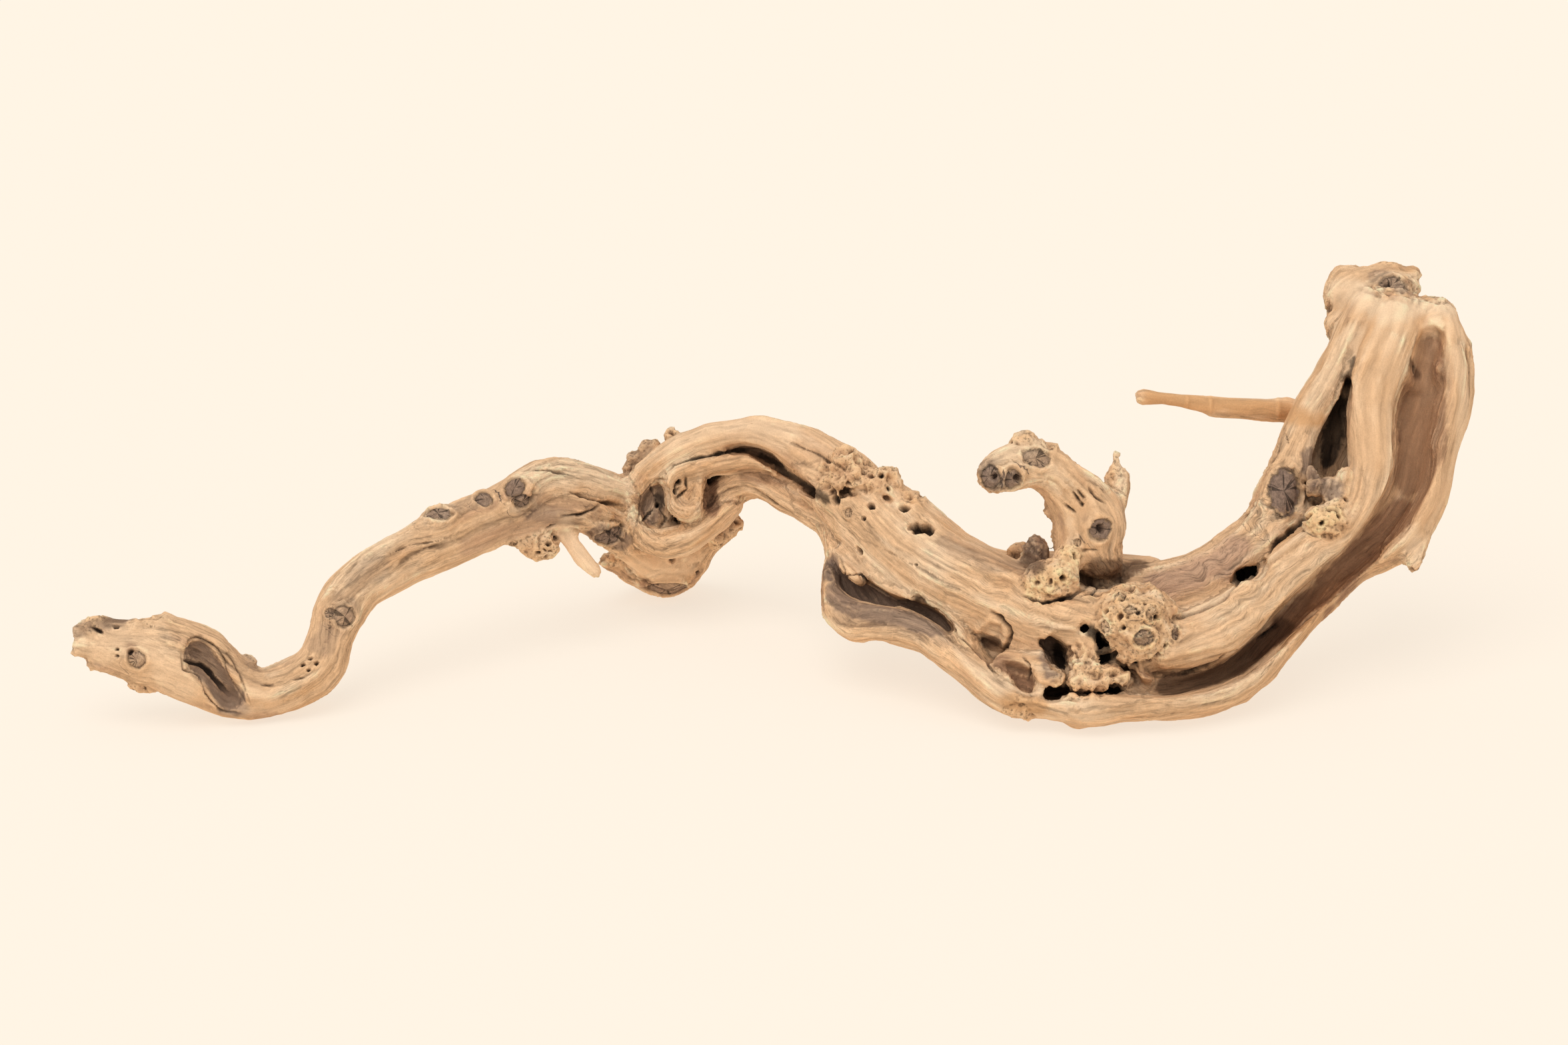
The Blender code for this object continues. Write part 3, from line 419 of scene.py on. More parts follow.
# (how strong, half width, the places that the stain runs through)
STAINS = {
    "grey": (
        (0.9, 11.5, ((124, 417), (132, 426), (141, 438), (150, 447))),
        (0.6, 5, ((48, 402), (62, 399), (84, 395))),
        (0.5, 5, ((157, 420), (161, 424))),
        (0.35, 10, ((206, 410), (214, 398), (220, 383))),
        (0.3, 9, ((226, 372), (240, 360))),
        (0.4, 6, ((290, 324), (302, 320))),
        (0.5, 7, ((335, 324), (350, 328), (366, 331))),
        (0.8, 8, ((380, 341), (397, 346))),
        (0.85, 10, ((416, 315), (414, 328))),
        (0.5, 8, ((400, 296), (410, 285))),
        (0.5, 6, ((460, 340), (474, 330))),
        (1, 10, ((529, 362), (540, 374), (550, 380), (563, 383))),
        (0.95, 8.5, ((563, 384), (576, 388), (590, 391), (603, 399))),
        (0.9, 8, ((533, 377), (545, 387), (560, 390), (578, 394), (596, 401))),
        (0.4, 8, ((605, 346), (630, 358), (660, 362))),
        (0.35, 6, ((536, 392), (570, 396), (600, 408))),
        (0.85, 5, ((668, 407), (667, 420), (671, 430))),
        (0.8, 6, ((629, 298), (631, 310), (646, 306))),
        (0.9, 8, ((658, 343), (664, 356))),
        (0.85, 8, ((835, 294), (838, 308), (850, 312))),
        (0.6, 7, ((880, 176), (893, 184))),
    ),
    "brown": (
        (0.7, 3.5, ((84, 414), (84, 419))),
        (0.5, 5, ((162, 457), (182, 457))),
        (0.5, 5, ((345, 318), (360, 322), (380, 327))),
        (0.95, 6.5, ((454, 309), (454, 325))),
        (0.6, 5, ((476, 303), (500, 307))),
        (0.8, 5, ((413, 373), (425, 379), (437, 376))),
        (0.95, 8.5, ((642, 424), (650, 430), (654, 438))),
        (0.65, 9, ((911, 222), (912, 232))),
        (0.8, 17, ((907, 246), (907, 280), (901, 303))),
        (0.8, 8, ((914, 222), (917, 240), (917, 262), (915, 290), (908, 314), (894, 336))),
        (0.95, 13, ((893, 328), (874, 352), (852, 373))),
        (1, 11, ((840, 384), (822, 400), (806, 412))),
    ),
    "dark": (
        (0.6, 3.5, ((67, 394), (78, 396))),
        (0.6, 5, ((455, 309), (455, 324))),
        (0.8, 5, ((628, 408), (635, 408))),
        (0.7, 6, ((668, 442), (684, 442))),
        (0.85, 8, ((700, 362), (715, 366), (725, 360))),
        (0.8, 5, ((655, 357), (663, 363))),
        (0.95, 9.5, ((818, 404), (804, 414), (785, 428), (762, 436), (745, 439))),
        (0.8, 3, ((899, 231), (903, 239))),
    ),
    "black": (
        (0.8, 3.5, ((420, 317), (421, 321))),
        (0.85, 3.5, ((486, 291), (500, 300), (513, 309), (527, 319))),
        (0.8, 2.6, ((581, 383), (590, 384))),
        (0.95, 5, ((676, 414), (678, 427))),
        (0.95, 4.5, ((690, 400), (700, 405))),
        (0.95, 6, ((703, 412), (705, 421))),
        (0.95, 3, ((690, 443), (712, 441))),
        (0.95, 7, ((848, 292), (850, 276), (855, 258))),
        (0.8, 4, ((860, 243), (863, 230))),
    ),
    "pale": (
        (0.7, 7, ((638, 290), (650, 286), (664, 284))),
        (0.6, 7, ((913, 203), (912, 218))),
        (0.25, 12, ((405, 362), (425, 364), (440, 355))),
        (0.6, 7, ((360, 334), (365, 350), (378, 364))),
        (0.5, 12, ((430, 288), (460, 274), (500, 276))),
        (0.7, 11, ((335, 303), (370, 300), (395, 308))),
        (0.6, 9, ((838, 258), (850, 236), (862, 212))),
        (0.4, 14, ((60, 412), (100, 408), (115, 440))),
        (0.5, 7, ((930, 225), (934, 255), (930, 290))),
        (0.5, 9, ((900, 340), (901, 356))),
        (0.5, 8, ((768, 444), (800, 432))),
        (0.8, 10, ((850, 185), (866, 186), (885, 200), (905, 195), (925, 195))),
    ),
    "honey": (
        (0.8, 9, ((646, 448), (662, 450))),
        (0.9, 7, ((735, 253), (770, 257), (800, 260), (840, 266))),
    ),
    "rosy": (
        (0.45, 8, ((300, 348), (330, 338), (350, 332))),
        (0.2, 9, ((470, 272), (500, 275), (525, 290))),
        (0.85, 12, ((738, 374), (765, 366), (788, 350))),
    ),
    "cream": (
        (0.6, 9, ((660, 374), (680, 364), (684, 356))),
        (0.75, 9, ((838, 332), (854, 326))),
        (0.25, 18, ((716, 386), (732, 398))),
    ),
    "smooth": (
        (1, 16, ((860, 190), (885, 200), (915, 205), (930, 205))),
        (0.8, 15, ((868, 215), (885, 225), (880, 255), (876, 290))),
        (0.8, 12, ((930, 230), (932, 260), (926, 300), (905, 345))),
        (0.7, 14, ((905, 225), (905, 260), (905, 300))),
        (0.9, 14, ((405, 360), (425, 365), (440, 355))),
        (1, 7, ((360, 334), (365, 350), (378, 364))),
        (0.7, 16, ((60, 412), (85, 415), (105, 425), (120, 445), (165, 452))),
        (0.6, 16, ((690, 330), (690, 350), (712, 330))),
        (0.9, 8, ((735, 253), (770, 257), (800, 260), (840, 266))),
        (0.5, 14, ((440, 280), (470, 272), (505, 280), (530, 295))),
    ),
    "wavy": (
        (1, 20, ((742, 374), (770, 362), (792, 348), (806, 330))),
        (0.7, 16, ((790, 396), (815, 376), (840, 354))),
        (0.6, 20, ((640, 380), (670, 392), (700, 384))),
    ),
}
# (across, down, back, radius, how ragged), the broken ends
BROKEN_ENDS = (
    (45, 401.5, 1, 9, 3), (48, 415, -1, 8, 3), (57, 424, 2, 7, 2.5), (66, 391, 5, 5, 2.5),
    (105, 389, 11, 6, 2.5), (712, 289, 34, 6, 2), (380, 367, 119, 6, 2), (634, 430, 21, 6, 2.5),
    (385, 358, 206, 7, 2.5),
)
print("marks:", len(KNOTS), "knots,", len(BURLS), "burls,", len(HOLES), "holes,", len(SPLITS), "splits")
print("and", len(LIPS), "lips,", sum(len(rows) for rows in STAINS.values()), "stains")

# %% Put each mark where its sight line meets the wood
def tree_of(mesh, places):
    """The mesh's faces, sorted so that a ray finds the first that it meets."""
    faces = [tuple(face.vertices) for face in mesh.polygons]
    return BVHTree.FromPolygons([Vector(place) for place in places], faces)


skin = tree_of(wood.data, points)


def on_wood(across, down):
    """The place and the outward direction where the sight line meets the wood, or None past it."""
    way = unit(seen(across, down, 0) - EYE)
    place, normal, _, _ = skin.ray_cast(Vector(EYE), Vector(way))
    if place is None:
        print("no wood at", across, down)
        return None
    if normal.dot(Vector(way)) > 0:
        normal = -normal
    return np.array(place), np.array(normal)


def found_marks(marks):
    """Each mark with its place and direction, leaving out those that the wood doesn't reach."""
    spots = [(on_wood(mark[0], mark[1]), mark[2:]) for mark in marks]
    return [(*spot, *rest) for spot, rest in spots if spot is not None]


def walked(places, spacing=2.0):
    """Spots every few millimetres along a row of places, where the sight lines meet the wood."""
    spots = []
    for (a, b), (c, d) in zip(places, places[1:]):
        count = max(2, int(math.hypot(c - a, d - b) / spacing))
        spots += [on_wood(a + (c - a) * t, b + (d - b) * t) for t in np.arange(count) / count]
    spots.append(on_wood(*places[-1]))
    return np.array([spot[0] for spot in spots if spot is not None])


def near_row(spots, reach):
    """The points within reach of a row of spots, how far off they are, and how far along it."""
    low, high = spots.min(0) - reach * MM, spots.max(0) + reach * MM
    close = np.where(np.all((points > low) & (points < high), axis=1))[0]
    gap = np.full(len(close), 1e3)
    along = np.zeros(len(close))
    for index, (a, b) in enumerate(zip(spots, spots[1:])):
        t = np.clip((points[close] - a) @ (b - a) / max(((b - a) ** 2).sum(), 1e-12), 0, 1)
        off = np.linalg.norm(points[close] - a - t[:, None] * (b - a), axis=1) / MM
        nearer = off < gap
        gap[nearer] = off[nearer]
        along[nearer] = (index + t[nearer]) / (len(spots) - 1)
    keep = gap < reach
    return close[keep], gap[keep], along[keep]


knots = found_marks(KNOTS)
holes = found_marks(HOLES)

# %% [markdown]
# ## Following the grain
# The direction of the grain is kept in a lattice of 2 mm cells round the skin. Beside a knot it
# bends as water does round a post, which is how wood grows round a branch. From each point of the
# skin we then walk along the grain both ways and average a random value: what comes out is streaks
# that run with the grain. Coarse ones make flutes, fine ones make the weathered ridges.

# %% Steps from 0 to 1, and random values in space
TABLE_BITS = 7
TABLE_SIZE = 2**TABLE_BITS
NEVER_BELOW_0 = 1000.0  # added to a place, so that no cell's number is negative
random_table = np.random.default_rng(11).random(TABLE_SIZE**3, dtype=np.float32)


def ramp(value, start, end):
    """0 before start, 1 after end, and a smooth rise between."""
    t = np.clip((value - start) / (end - start), 0, 1)
    return t * t * (3 - 2 * t)


def random_at(x, y, z, seed):
    """A value from 0 to 1 for each whole-numbered cell."""
    wrap = TABLE_SIZE - 1
    x, y, z = (x + seed * 37) & wrap, (y + seed * 11) & wrap, (z + seed * 53) & wrap
    return random_table[x << 2 * TABLE_BITS | y << TABLE_BITS | z]


def noise_at(places, size, seed):
    """Smooth noise from -1 to 1, with lumps about as wide as size."""
    scaled = places / size + NEVER_BELOW_0
    base = np.floor(scaled).astype(np.int32)
    t = (scaled - base).astype(np.float32)
    t = t * t * (3 - 2 * t)
    x, y, z = base.T
    tx, ty, tz = t.T
    total = 0
    for dx, wx in ((0, 1 - tx), (1, tx)):
        for dy, wy in ((0, 1 - ty), (1, ty)):
            for dz, wz in ((0, 1 - tz), (1, tz)):
                total = total + wx * wy * wz * random_at(x + dx, y + dy, z + dz, seed)
    return total * 2 - 1


def cloud_at(places, size, seed):
    """Noise with finer noise laid over it."""
    finer = 0.5 * noise_at(places, size / 2, seed + 1) + 0.25 * noise_at(places, size / 4, seed + 2)
    return (noise_at(places, size, seed) + finer) / 1.4


# %% The direction of the grain round the skin
LATTICE = 2 * MM
MARGIN = 4  # cells on each side of the wood
KNOT_REACH = 3.2  # knot sizes

corner_low = points.min(0) - MARGIN * LATTICE
lattice_shape = tuple(int(n) for n in np.ceil((points.max(0) - points.min(0)) / LATTICE) + 2 * MARGIN)
near_skin = np.zeros(lattice_shape, dtype=bool)
cells = np.floor((points - corner_low) / LATTICE).astype(int)
for x in (-1, 0, 1):
    for y in (-1, 0, 1):
        for z in (-1, 0, 1):
            near_skin[cells[:, 0] + x, cells[:, 1] + y, cells[:, 2] + z] = True
cell_places = ((np.argwhere(near_skin) + 0.5) * LATTICE + corner_low).astype(np.float32)
cell_ways = line_ways[nearest_station(cell_places)]


def bend_round(ways, places, centre, normal, size):
    """Turns the grain so that it flows round a knot, and in rings inside it."""
    offset = places - centre
    near = np.linalg.norm(offset, axis=1) < size * KNOT_REACH
    flat = offset[near] - (offset[near] @ normal)[:, None] * normal
    distance = np.linalg.norm(flat, axis=1)
    outward = flat / np.maximum(distance, 1e-6)[:, None]
    way = ways[near]
    share = np.clip(size / np.maximum(distance, 1e-6), 0, 1)[:, None] ** 2
    bent = way - share * (2 * (way * outward).sum(1)[:, None] * outward - way)
    rings = np.cross(normal, outward)
    ways[near] = unit(np.where((distance < size)[:, None], rings, bent))


for centre, normal, half_width, half_height, _, _ in knots:
    bend_round(cell_ways, cell_places, centre, normal, max(half_width, half_height) * MM)
WAVER = 0.16  # how far the grain strays from the strand, as a slope
strays = np.stack([cloud_at(cell_places, 26 * MM, seed) for seed in (61, 62, 63)], axis=1)
cell_ways = unit(cell_ways + WAVER * strays).astype(np.float32)
grain_lattice = np.zeros((*lattice_shape, 3), dtype=np.float32)
grain_lattice[near_skin] = cell_ways
print("grain lattice:", len(cell_places), "cells round the skin")


def grain_at(places):
    cell = np.floor((places - corner_low) / LATTICE).astype(np.int32)
    cell = np.clip(cell, 0, np.array(lattice_shape) - 1)
    return grain_lattice[cell[:, 0], cell[:, 1], cell[:, 2]]


def streaks(sizes, step, steps):
    """For each size, random values averaged along the grain and scaled to a spread of 1."""
    totals = [noise_at(points, size, seed) for seed, size in enumerate(sizes)]
    count = np.ones(len(points), dtype=np.float32)
    for side in (1, -1):
        place = points.copy()
        way = grain_at(points) * side
        for _ in range(steps):
            place = place + way * step
            turn = grain_at(place)
            going = (np.abs(turn).sum(1) > 0).astype(np.float32)
            turn *= np.where((turn * way).sum(1) < 0, -1, 1)[:, None]
            way = turn
            for seed, size in enumerate(sizes):
                totals[seed] += noise_at(place, size, seed) * going
            count += going
    return [(total / count - (total / count).mean()) / (total / count).std() for total in totals]


flutes, bands = streaks((8 * MM, 4.5 * MM), 3.2 * MM, 14)
ridges, grooves = streaks((2.8 * MM, 1.5 * MM), 1.9 * MM, 12)
print("streaks made")

# %% [markdown]
# ## Carving the skin
# Each mark pushes the skin in or out along its own direction. What was pushed is also remembered as
# numbers from 0 to 1, such as how much a point belongs to a burl or lies in a split, and the colours
# are mixed from those numbers afterwards.


# %% Burls: folds and knobs with pits between them
def cells_at(places, size, seed):
    """Distance to the nearest scattered point, in cell sizes, and a random value of its own."""
    scaled = places / size + NEVER_BELOW_0
    base = np.floor(scaled).astype(np.int32)
    nearest = np.full(len(places), 9.0, dtype=np.float32)
    own = np.zeros(len(places), dtype=np.float32)
    for x in (-1, 0, 1):
        for y in (-1, 0, 1):
            for z in (-1, 0, 1):
                cell = base + np.array((x, y, z), dtype=np.int32)
                spot = cell + np.stack([random_at(*cell.T, seed + axis) for axis in range(3)], axis=1)
                gap = np.linalg.norm(scaled - spot, axis=1).astype(np.float32)
                own = np.where(gap < nearest, random_at(*cell.T, seed + 5), own)
                nearest = np.minimum(nearest, gap)
    return nearest, own


burl = np.zeros(len(points), dtype=np.float32)
lumpy, pitted = burl.copy(), burl.copy()
for across, down, back, radius, how_lumpy, how_pitted in BURLS:
    gap = np.linalg.norm(points - seen(across, down, back), axis=1) / (radius * MM)
    share = 1 - ramp(gap, 0.85, 1.2)
    burl = np.maximum(burl, share)
    lumpy = np.maximum(lumpy, share * how_lumpy)
    pitted = np.maximum(pitted, share * how_pitted)
burl *= ramp(burl + 0.5 * cloud_at(points, 9 * MM, 21), 0.2, 0.6)

on_burl = np.where(burl > 0.01)[0]
spots = points[on_burl]
warp = np.stack([cloud_at(spots, 7 * MM, seed) for seed in (24, 25, 26)], axis=1) * 2.6 * MM
folds = 1 - 2.2 * np.abs(noise_at(spots + warp, 10 * MM, 31))
small_folds = 1 - 2.2 * np.abs(noise_at(spots + warp, 4.5 * MM, 32))
bud, size_of_bud = cells_at(spots + warp, 7.6 * MM, 37)
pit_share = np.clip((size_of_bud - 0.85 + 0.75 * pitted[on_burl]) / 0.12, 0, 1)
pit = (1 - ramp(bud, 0.06 + 0.14 * size_of_bud, 0.18 + 0.24 * size_of_bud)) * pit_share
lumps = np.zeros(len(points), dtype=np.float32)
pits = np.zeros(len(points), dtype=np.float32)
crumbs = cloud_at(spots, 3.2 * MM, 41)
lumps[on_burl] = (1.7 * folds + 0.8 * small_folds + 0.7 * crumbs - 0.9) * lumpy[on_burl]
pits[on_burl] = pit
print("burl points:", len(on_burl))

# %% Knots and holes
dent = np.zeros(len(points), dtype=np.float32)  # how far in, in metres
greyed = np.zeros(len(points), dtype=np.float32)
blackened = np.zeros(len(points), dtype=np.float32)
MARK_DEPTH = 9 * MM  # how far below a mark its face may lie and still belong to it


def near_mark(places, centre, normal, reach):
    """The places near a mark, and their right, up and out distances from it."""
    offset = places - centre
    near = np.where(np.linalg.norm(offset, axis=1) < reach)[0]
    right = unit(RIGHT - (RIGHT @ normal) * normal)
    up = np.cross(normal, right)
    return near, offset[near] @ right, offset[near] @ up, offset[near] @ normal


for index, (centre, normal, half_width, half_height, hollow, grey) in enumerate(knots):
    near, right, up, out = near_mark(points, centre, normal, 2 * max(half_width, half_height) * MM)
    gap = np.sqrt((right / half_width) ** 2 + (up / half_height) ** 2) / MM
    gap = gap + 0.22 * noise_at(points[near], 4 * MM, 50 + index)
    level = (np.abs(out) < MARK_DEPTH).astype(float)
    inside = (1 - ramp(gap, 0.85, 1.0)) * level
    rim = np.exp(-(((gap - 1.0) / 0.10) ** 2)) * level
    lip = np.exp(-(((gap - 1.32) / 0.2) ** 2)) * level
    crumb = 0.5 * noise_at(points[near], 2.6 * MM, 90 + index) * inside
    dent[near] += MM * (hollow * inside * (1 - 0.5 * gap) + 1.1 * rim + crumb - 0.9 * lip)
    greyed[near] = np.maximum(greyed[near], inside)
    blackened[near] = np.maximum(blackened[near], 0.6 * rim * grey)

for index, (centre, normal, radius, depth) in enumerate(holes):
    near, right, up, out = near_mark(points, centre, normal, 12 * MM)
    grain = grain_at(centre[None])[0]
    stretch_way = np.array((grain @ unit(RIGHT - (RIGHT @ normal) * normal), grain @ UP))
    along = right * stretch_way[0] + up * stretch_way[1]
    gap = np.sqrt(np.maximum(right**2 + up**2 - 0.4 * along**2, 0)) / (radius * MM)
    gap = gap + 0.35 * noise_at(points[near], 2.8 * MM, 70 + index % 20)
    inside = (1 - ramp(gap, 0.6, 1.05)) * (np.abs(out) < MARK_DEPTH)
    dent[near] += MM * (depth * inside - 0.5 * np.exp(-(((gap - 1.5) / 0.35) ** 2)))
    blackened[near] = np.maximum(blackened[near], inside)

# %% Splits, lips and stains
stains = {name: np.zeros(len(points), dtype=np.float32) for name in STAINS}
split_here = np.zeros(len(points), dtype=np.float32)

for width, depth, places in SPLITS:
    spots = walked(places, 1.5)
    if len(spots) > 2:
        close, gap, along = near_row(spots, 4)
        taper = np.sin(np.pi * np.clip(along, 0.02, 0.98)) ** 0.6
        gap = gap + 0.7 * noise_at(points[close], 4 * MM, 90)
        inside = (1 - ramp(gap, width * 0.3, width)) * taper
        dent[close] += MM * depth * inside
        split_here[close] = np.maximum(split_here[close], inside * min(1.0, 0.25 + depth / 4))
blackened = np.maximum(blackened, split_here)
for width, height, places in LIPS:
    spots = walked(places, 1.5)
    if len(spots) > 1:
        close, gap, along = near_row(spots, 3 * width)
        taper = np.sin(np.pi * np.clip(along, 0.05, 0.95)) ** 0.5
        gap = gap / width + 0.2 * noise_at(points[close], 4 * MM, 93)
        dent[close] -= MM * height * taper * np.exp(-(gap**2))

CRISP = ("grey", "brown", "dark", "black")
CRISP_EDGE, SOFT_EDGE = (0.82, 1.1), (0.5, 1.2)  # where a stain starts to fade and ends, in half widths
rag = 0.35 * cloud_at(points, 12 * MM, 111)
for name, rows in STAINS.items():
    for strong, radius, places in rows:
        spots = walked(places)
        if len(spots) > 1:
            close, gap, _ = near_row(spots, radius * 1.6)
            fade = CRISP_EDGE if name in CRISP else SOFT_EDGE
            share = strong * (1 - ramp(gap / radius + rag[close], *fade))
            stains[name][close] = np.maximum(stains[name][close], share)
print("stains:", {name: int((share > 0.5).sum()) for name, share in stains.items()})

# %% Push the skin, and pull the broken ends into splinters
calm = (1 - np.clip(burl + greyed, 0, 1)) * (1 - 0.8 * stains["smooth"])
weathering = np.maximum(ramp(cloud_at(points, 45 * MM, 13), -0.25, 0.55), stains["wavy"])
FLUTE, RIDGE, GROOVE, FINE_SPLIT, PIT = 0.42, 0.25, 0.2, 1.1, 3.2  # heights and depths, in millimetres
fluted = FLUTE * np.clip(flutes, -2, 2)
ridged = RIDGE * np.clip(ridges, -2.2, 2) + GROOVE * np.clip(grooves, -2.5, 2)
fine_split = ramp(-ridges - 0.35 * bands, 1.75, 2.5) * weathering * calm
push = MM * (calm * (fluted + ridged) - FINE_SPLIT * fine_split + burl * (lumps - PIT * pits)) - dent
moved = points + normals * push[:, None]
for index, (across, down, back, radius, ragged) in enumerate(BROKEN_ENDS):
    centre = seen(across, down, back)
    offset = moved - centre
    distance = np.linalg.norm(offset, axis=1) / MM
    near = np.where(distance < 2 * radius)[0]
    if len(near) == 0:
        print("no wood at the broken end", across, down)
        continue
    outward = unit(-offset[near].mean(0))
    along = offset[near] @ outward / MM
    flat = moved[near] - (moved[near] @ outward)[:, None] * outward
    jag = noise_at(flat, 4 * MM, 140 + index) + 0.5 * noise_at(flat, 1.8 * MM, 160 + index)
    at_end = ramp(along, -0.7 * radius, 0.3 * radius) * (1 - ramp(distance[near], radius, 2 * radius))
    pull = ragged * jag * at_end
    moved[near] += MM * pull[:, None] * outward
    blackened[near] = np.maximum(blackened[near], 0.45 * ramp(-pull, 0.4, 1.6))
moved[:, 2] = np.maximum(moved[:, 2], 0.0)
wood.data.vertices.foreach_set("co", moved.astype(np.float32).ravel())
wood.data.update()
print("pushed the skin from", round(float(push.min()) / MM, 1), "to", round(float(push.max()) / MM, 1), "mm")

# %% How hollow or proud each point is beside its neighbours
now_normals = normals_of(wood.data)
middle = np.stack([soften(wood.data, moved[:, axis], 4) for axis in range(3)], axis=1)
proud = -((middle - moved) * now_normals).sum(1) / MM
print("proud of its neighbours, 1 % and 99 %:", np.percentile(proud, (1, 99)).round(2), "mm")

# %% [markdown]
# ## Fewer triangles where the wood is smooth
# The even cells were only needed for carving. Decimate now takes triangles away from the smooth
# stretches and leaves them at splits and pits. What was remembered at each point is passed to the
# nearest point that stays.

# %% Thin the mesh
MOST_TRIANGLES = 196000

before = KDTree(len(moved))
for index, place in enumerate(moved):
    before.insert(place, index)
before.balance()
detail = np.maximum(np.maximum(blackened, burl * pits), split_here) > 0.25
group = wood.vertex_groups.new(name="may be thinned")
group.add(np.where(~detail)[0].tolist(), 1.0, "REPLACE")
triangles = sum(len(face.vertices) - 2 for face in wood.data.polygons)
apply_modifier(wood, "DECIMATE", ratio=min(1.0, MOST_TRIANGLES / triangles), vertex_group="may be thinned")
wood.vertex_groups.clear()
thin_points = points_of(wood.data)
thin_normals = normals_of(wood.data)
source = np.array([before.find(place)[1] for place in thin_points])
left = sum(len(face.vertices) - 2 for face in wood.data.polygons)
print("triangles:", triangles, "then", left, "and points kept whole:", int(detail.sum()))

# %% [markdown]
# ## How open each point is to the sky
# Hollows get painted shade, darker than the lamps alone make them; in the deepest it also stands for
# rot. From each point a few rays go out in all directions; the share that meets wood says how deep it lies.

# %% Count the rays that meet wood
RAYS = 8
RAY_LENGTH = 0.04
RAY_START = 0.0006  # above the skin, so that a ray doesn't meet its own face
FAN_WIDTH = 0.94  # 1 would bring the widest ray down to the skin

surface = tree_of(wood.data, thin_points)
spiral = np.arange(RAYS) + 0.5
height = 1 - spiral / RAYS * FAN_WIDTH
turn = spiral * math.pi * (3 - math.sqrt(5))
flat = np.sqrt(1 - height**2)
fan = np.stack([flat * np.cos(turn), flat * np.sin(turn), height], axis=1)
side = unit(np.cross(thin_normals, np.where(np.abs(thin_normals[:, 2:3]) < 0.9, (0, 0, 1), (1, 0, 0))))
third = np.cross(thin_normals, side)
starts = thin_points + thin_normals * RAY_START
hollow_shade_and_rot = np.zeros(len(thin_points))
for ray in fan:
    ways = side * ray[0] + third * ray[1] + thin_normals * ray[2]
    for index, (start, way) in enumerate(zip(starts, ways)):
        if surface.ray_cast(start, way, RAY_LENGTH)[0] is not None:
            hollow_shade_and_rot[index] += 1 / RAYS
hollow_shade_and_rot = soften(wood.data, hollow_shade_and_rot, 2)
print("hollowness from", round(float(hollow_shade_and_rot.min()), 2), "to", round(float(hollow_shade_and_rot.max()), 2))

# %% [markdown]
# ## Colours
# Dry vine wood is pale tan. It goes honey-orange where the outer wood has worn through, grey-brown
# where bark clung or water stood, cream on the knobs of a burl, and nearly black in rot holes. The
# colours are mixed point by point and kept in a colour layer, with painted shade added in hollows and
# creases and a painted highlight on proud ridges, and the material lays fine grain over them.


# %% The wood's colours
def linear(red, green, blue):
    """A colour given as 0 to 255 on screen, as the light values that shaders use."""
    c = np.array((red, green, blue)) / 255
    return np.where(c <= 0.04045, c / 12.92, ((c + 0.055) / 1.055) ** 2.4)


TAN = linear(220, 178, 136)
COLOURS = {
    "pale": linear(238, 205, 168),
    "honey": linear(205, 156, 108),
    "rosy": linear(184, 146, 119),
    "cream": linear(238, 197, 147),
    "grey": linear(124, 102, 88),
    "brown": linear(152, 112, 84),
    "dark": linear(90, 64, 46),
    "black": linear(24, 16, 11),
}


def mixed(under, name, share):
    """The colour under, with a share of the named colour over it."""
    return under + (COLOURS[name] - under) * np.clip(share, 0, 1)[:, None]


# %% Mix them
here = {name: share[source] for name, share in stains.items()}
burl_here, pit_here, proud_here = burl[source], pits[source] * burl[source], proud[source]
band_here, grain_here = bands[source], 0.5 * ridges[source] + 0.5 * grooves[source]
calm_here = calm[source]
patches = cloud_at(thin_points, 55 * MM, 101)
small_patches = cloud_at(thin_points, 16 * MM, 105)
tone = 0.75 * band_here + 0.6 * small_patches + 0.3 * flutes[source]

colour = np.tile(TAN, (len(thin_points), 1))
calm_tone = 1 - 0.5 * here["smooth"]
colour = mixed(colour, "pale", 0.75 * calm_tone * ramp(tone + 0.5 * patches, -0.2, 1.8))
colour = mixed(colour, "honey", 0.75 * calm_tone * ramp(-tone + 0.8 * patches, 0.4, 2.0))
colour = mixed(colour, "rosy", 0.5 * calm_tone * ramp(-tone - 0.9 * patches, 0.6, 2.2))
colour = mixed(colour, "grey", 0.4 * ramp(small_patches - 0.5 * band_here, 0.8, 1.7) * (1 - burl_here))
for name in ("rosy", "honey", "pale", "cream"):
    colour = mixed(colour, name, here[name])
colour = mixed(colour, "cream", 0.3 * burl_here * ramp(proud_here, 0.0, 0.6))
colour = mixed(colour, "honey", 0.3 * burl_here * ramp(-proud_here, 0.0, 0.4))
for name in ("grey", "brown"):
    colour = mixed(colour, name, 0.9 * here[name] * (1 - 0.35 * ramp(proud_here, 0.1, 0.5)))
colour *= (1 + 0.09 * np.clip(grain_here, -2.2, 2.2))[:, None]
# Painted highlight and shade: points proud of their neighbours are made lighter, sunk ones darker.
colour *= (1 + 0.16 * np.clip(proud_here / 0.4, -1.5, 1))[:, None]
colour = mixed(colour, "dark", 0.45 * ramp(-grain_here, 1.2, 2.3) * calm_here)
colour = mixed(colour, "dark", 0.5 * fine_split[source])
# Painted shade in the creases between the burl's knobs.
colour = mixed(colour, "dark", 0.6 * ramp(-proud_here, 0.25, 0.8) * burl_here)
colour = mixed(colour, "dark", 0.9 * here["dark"])
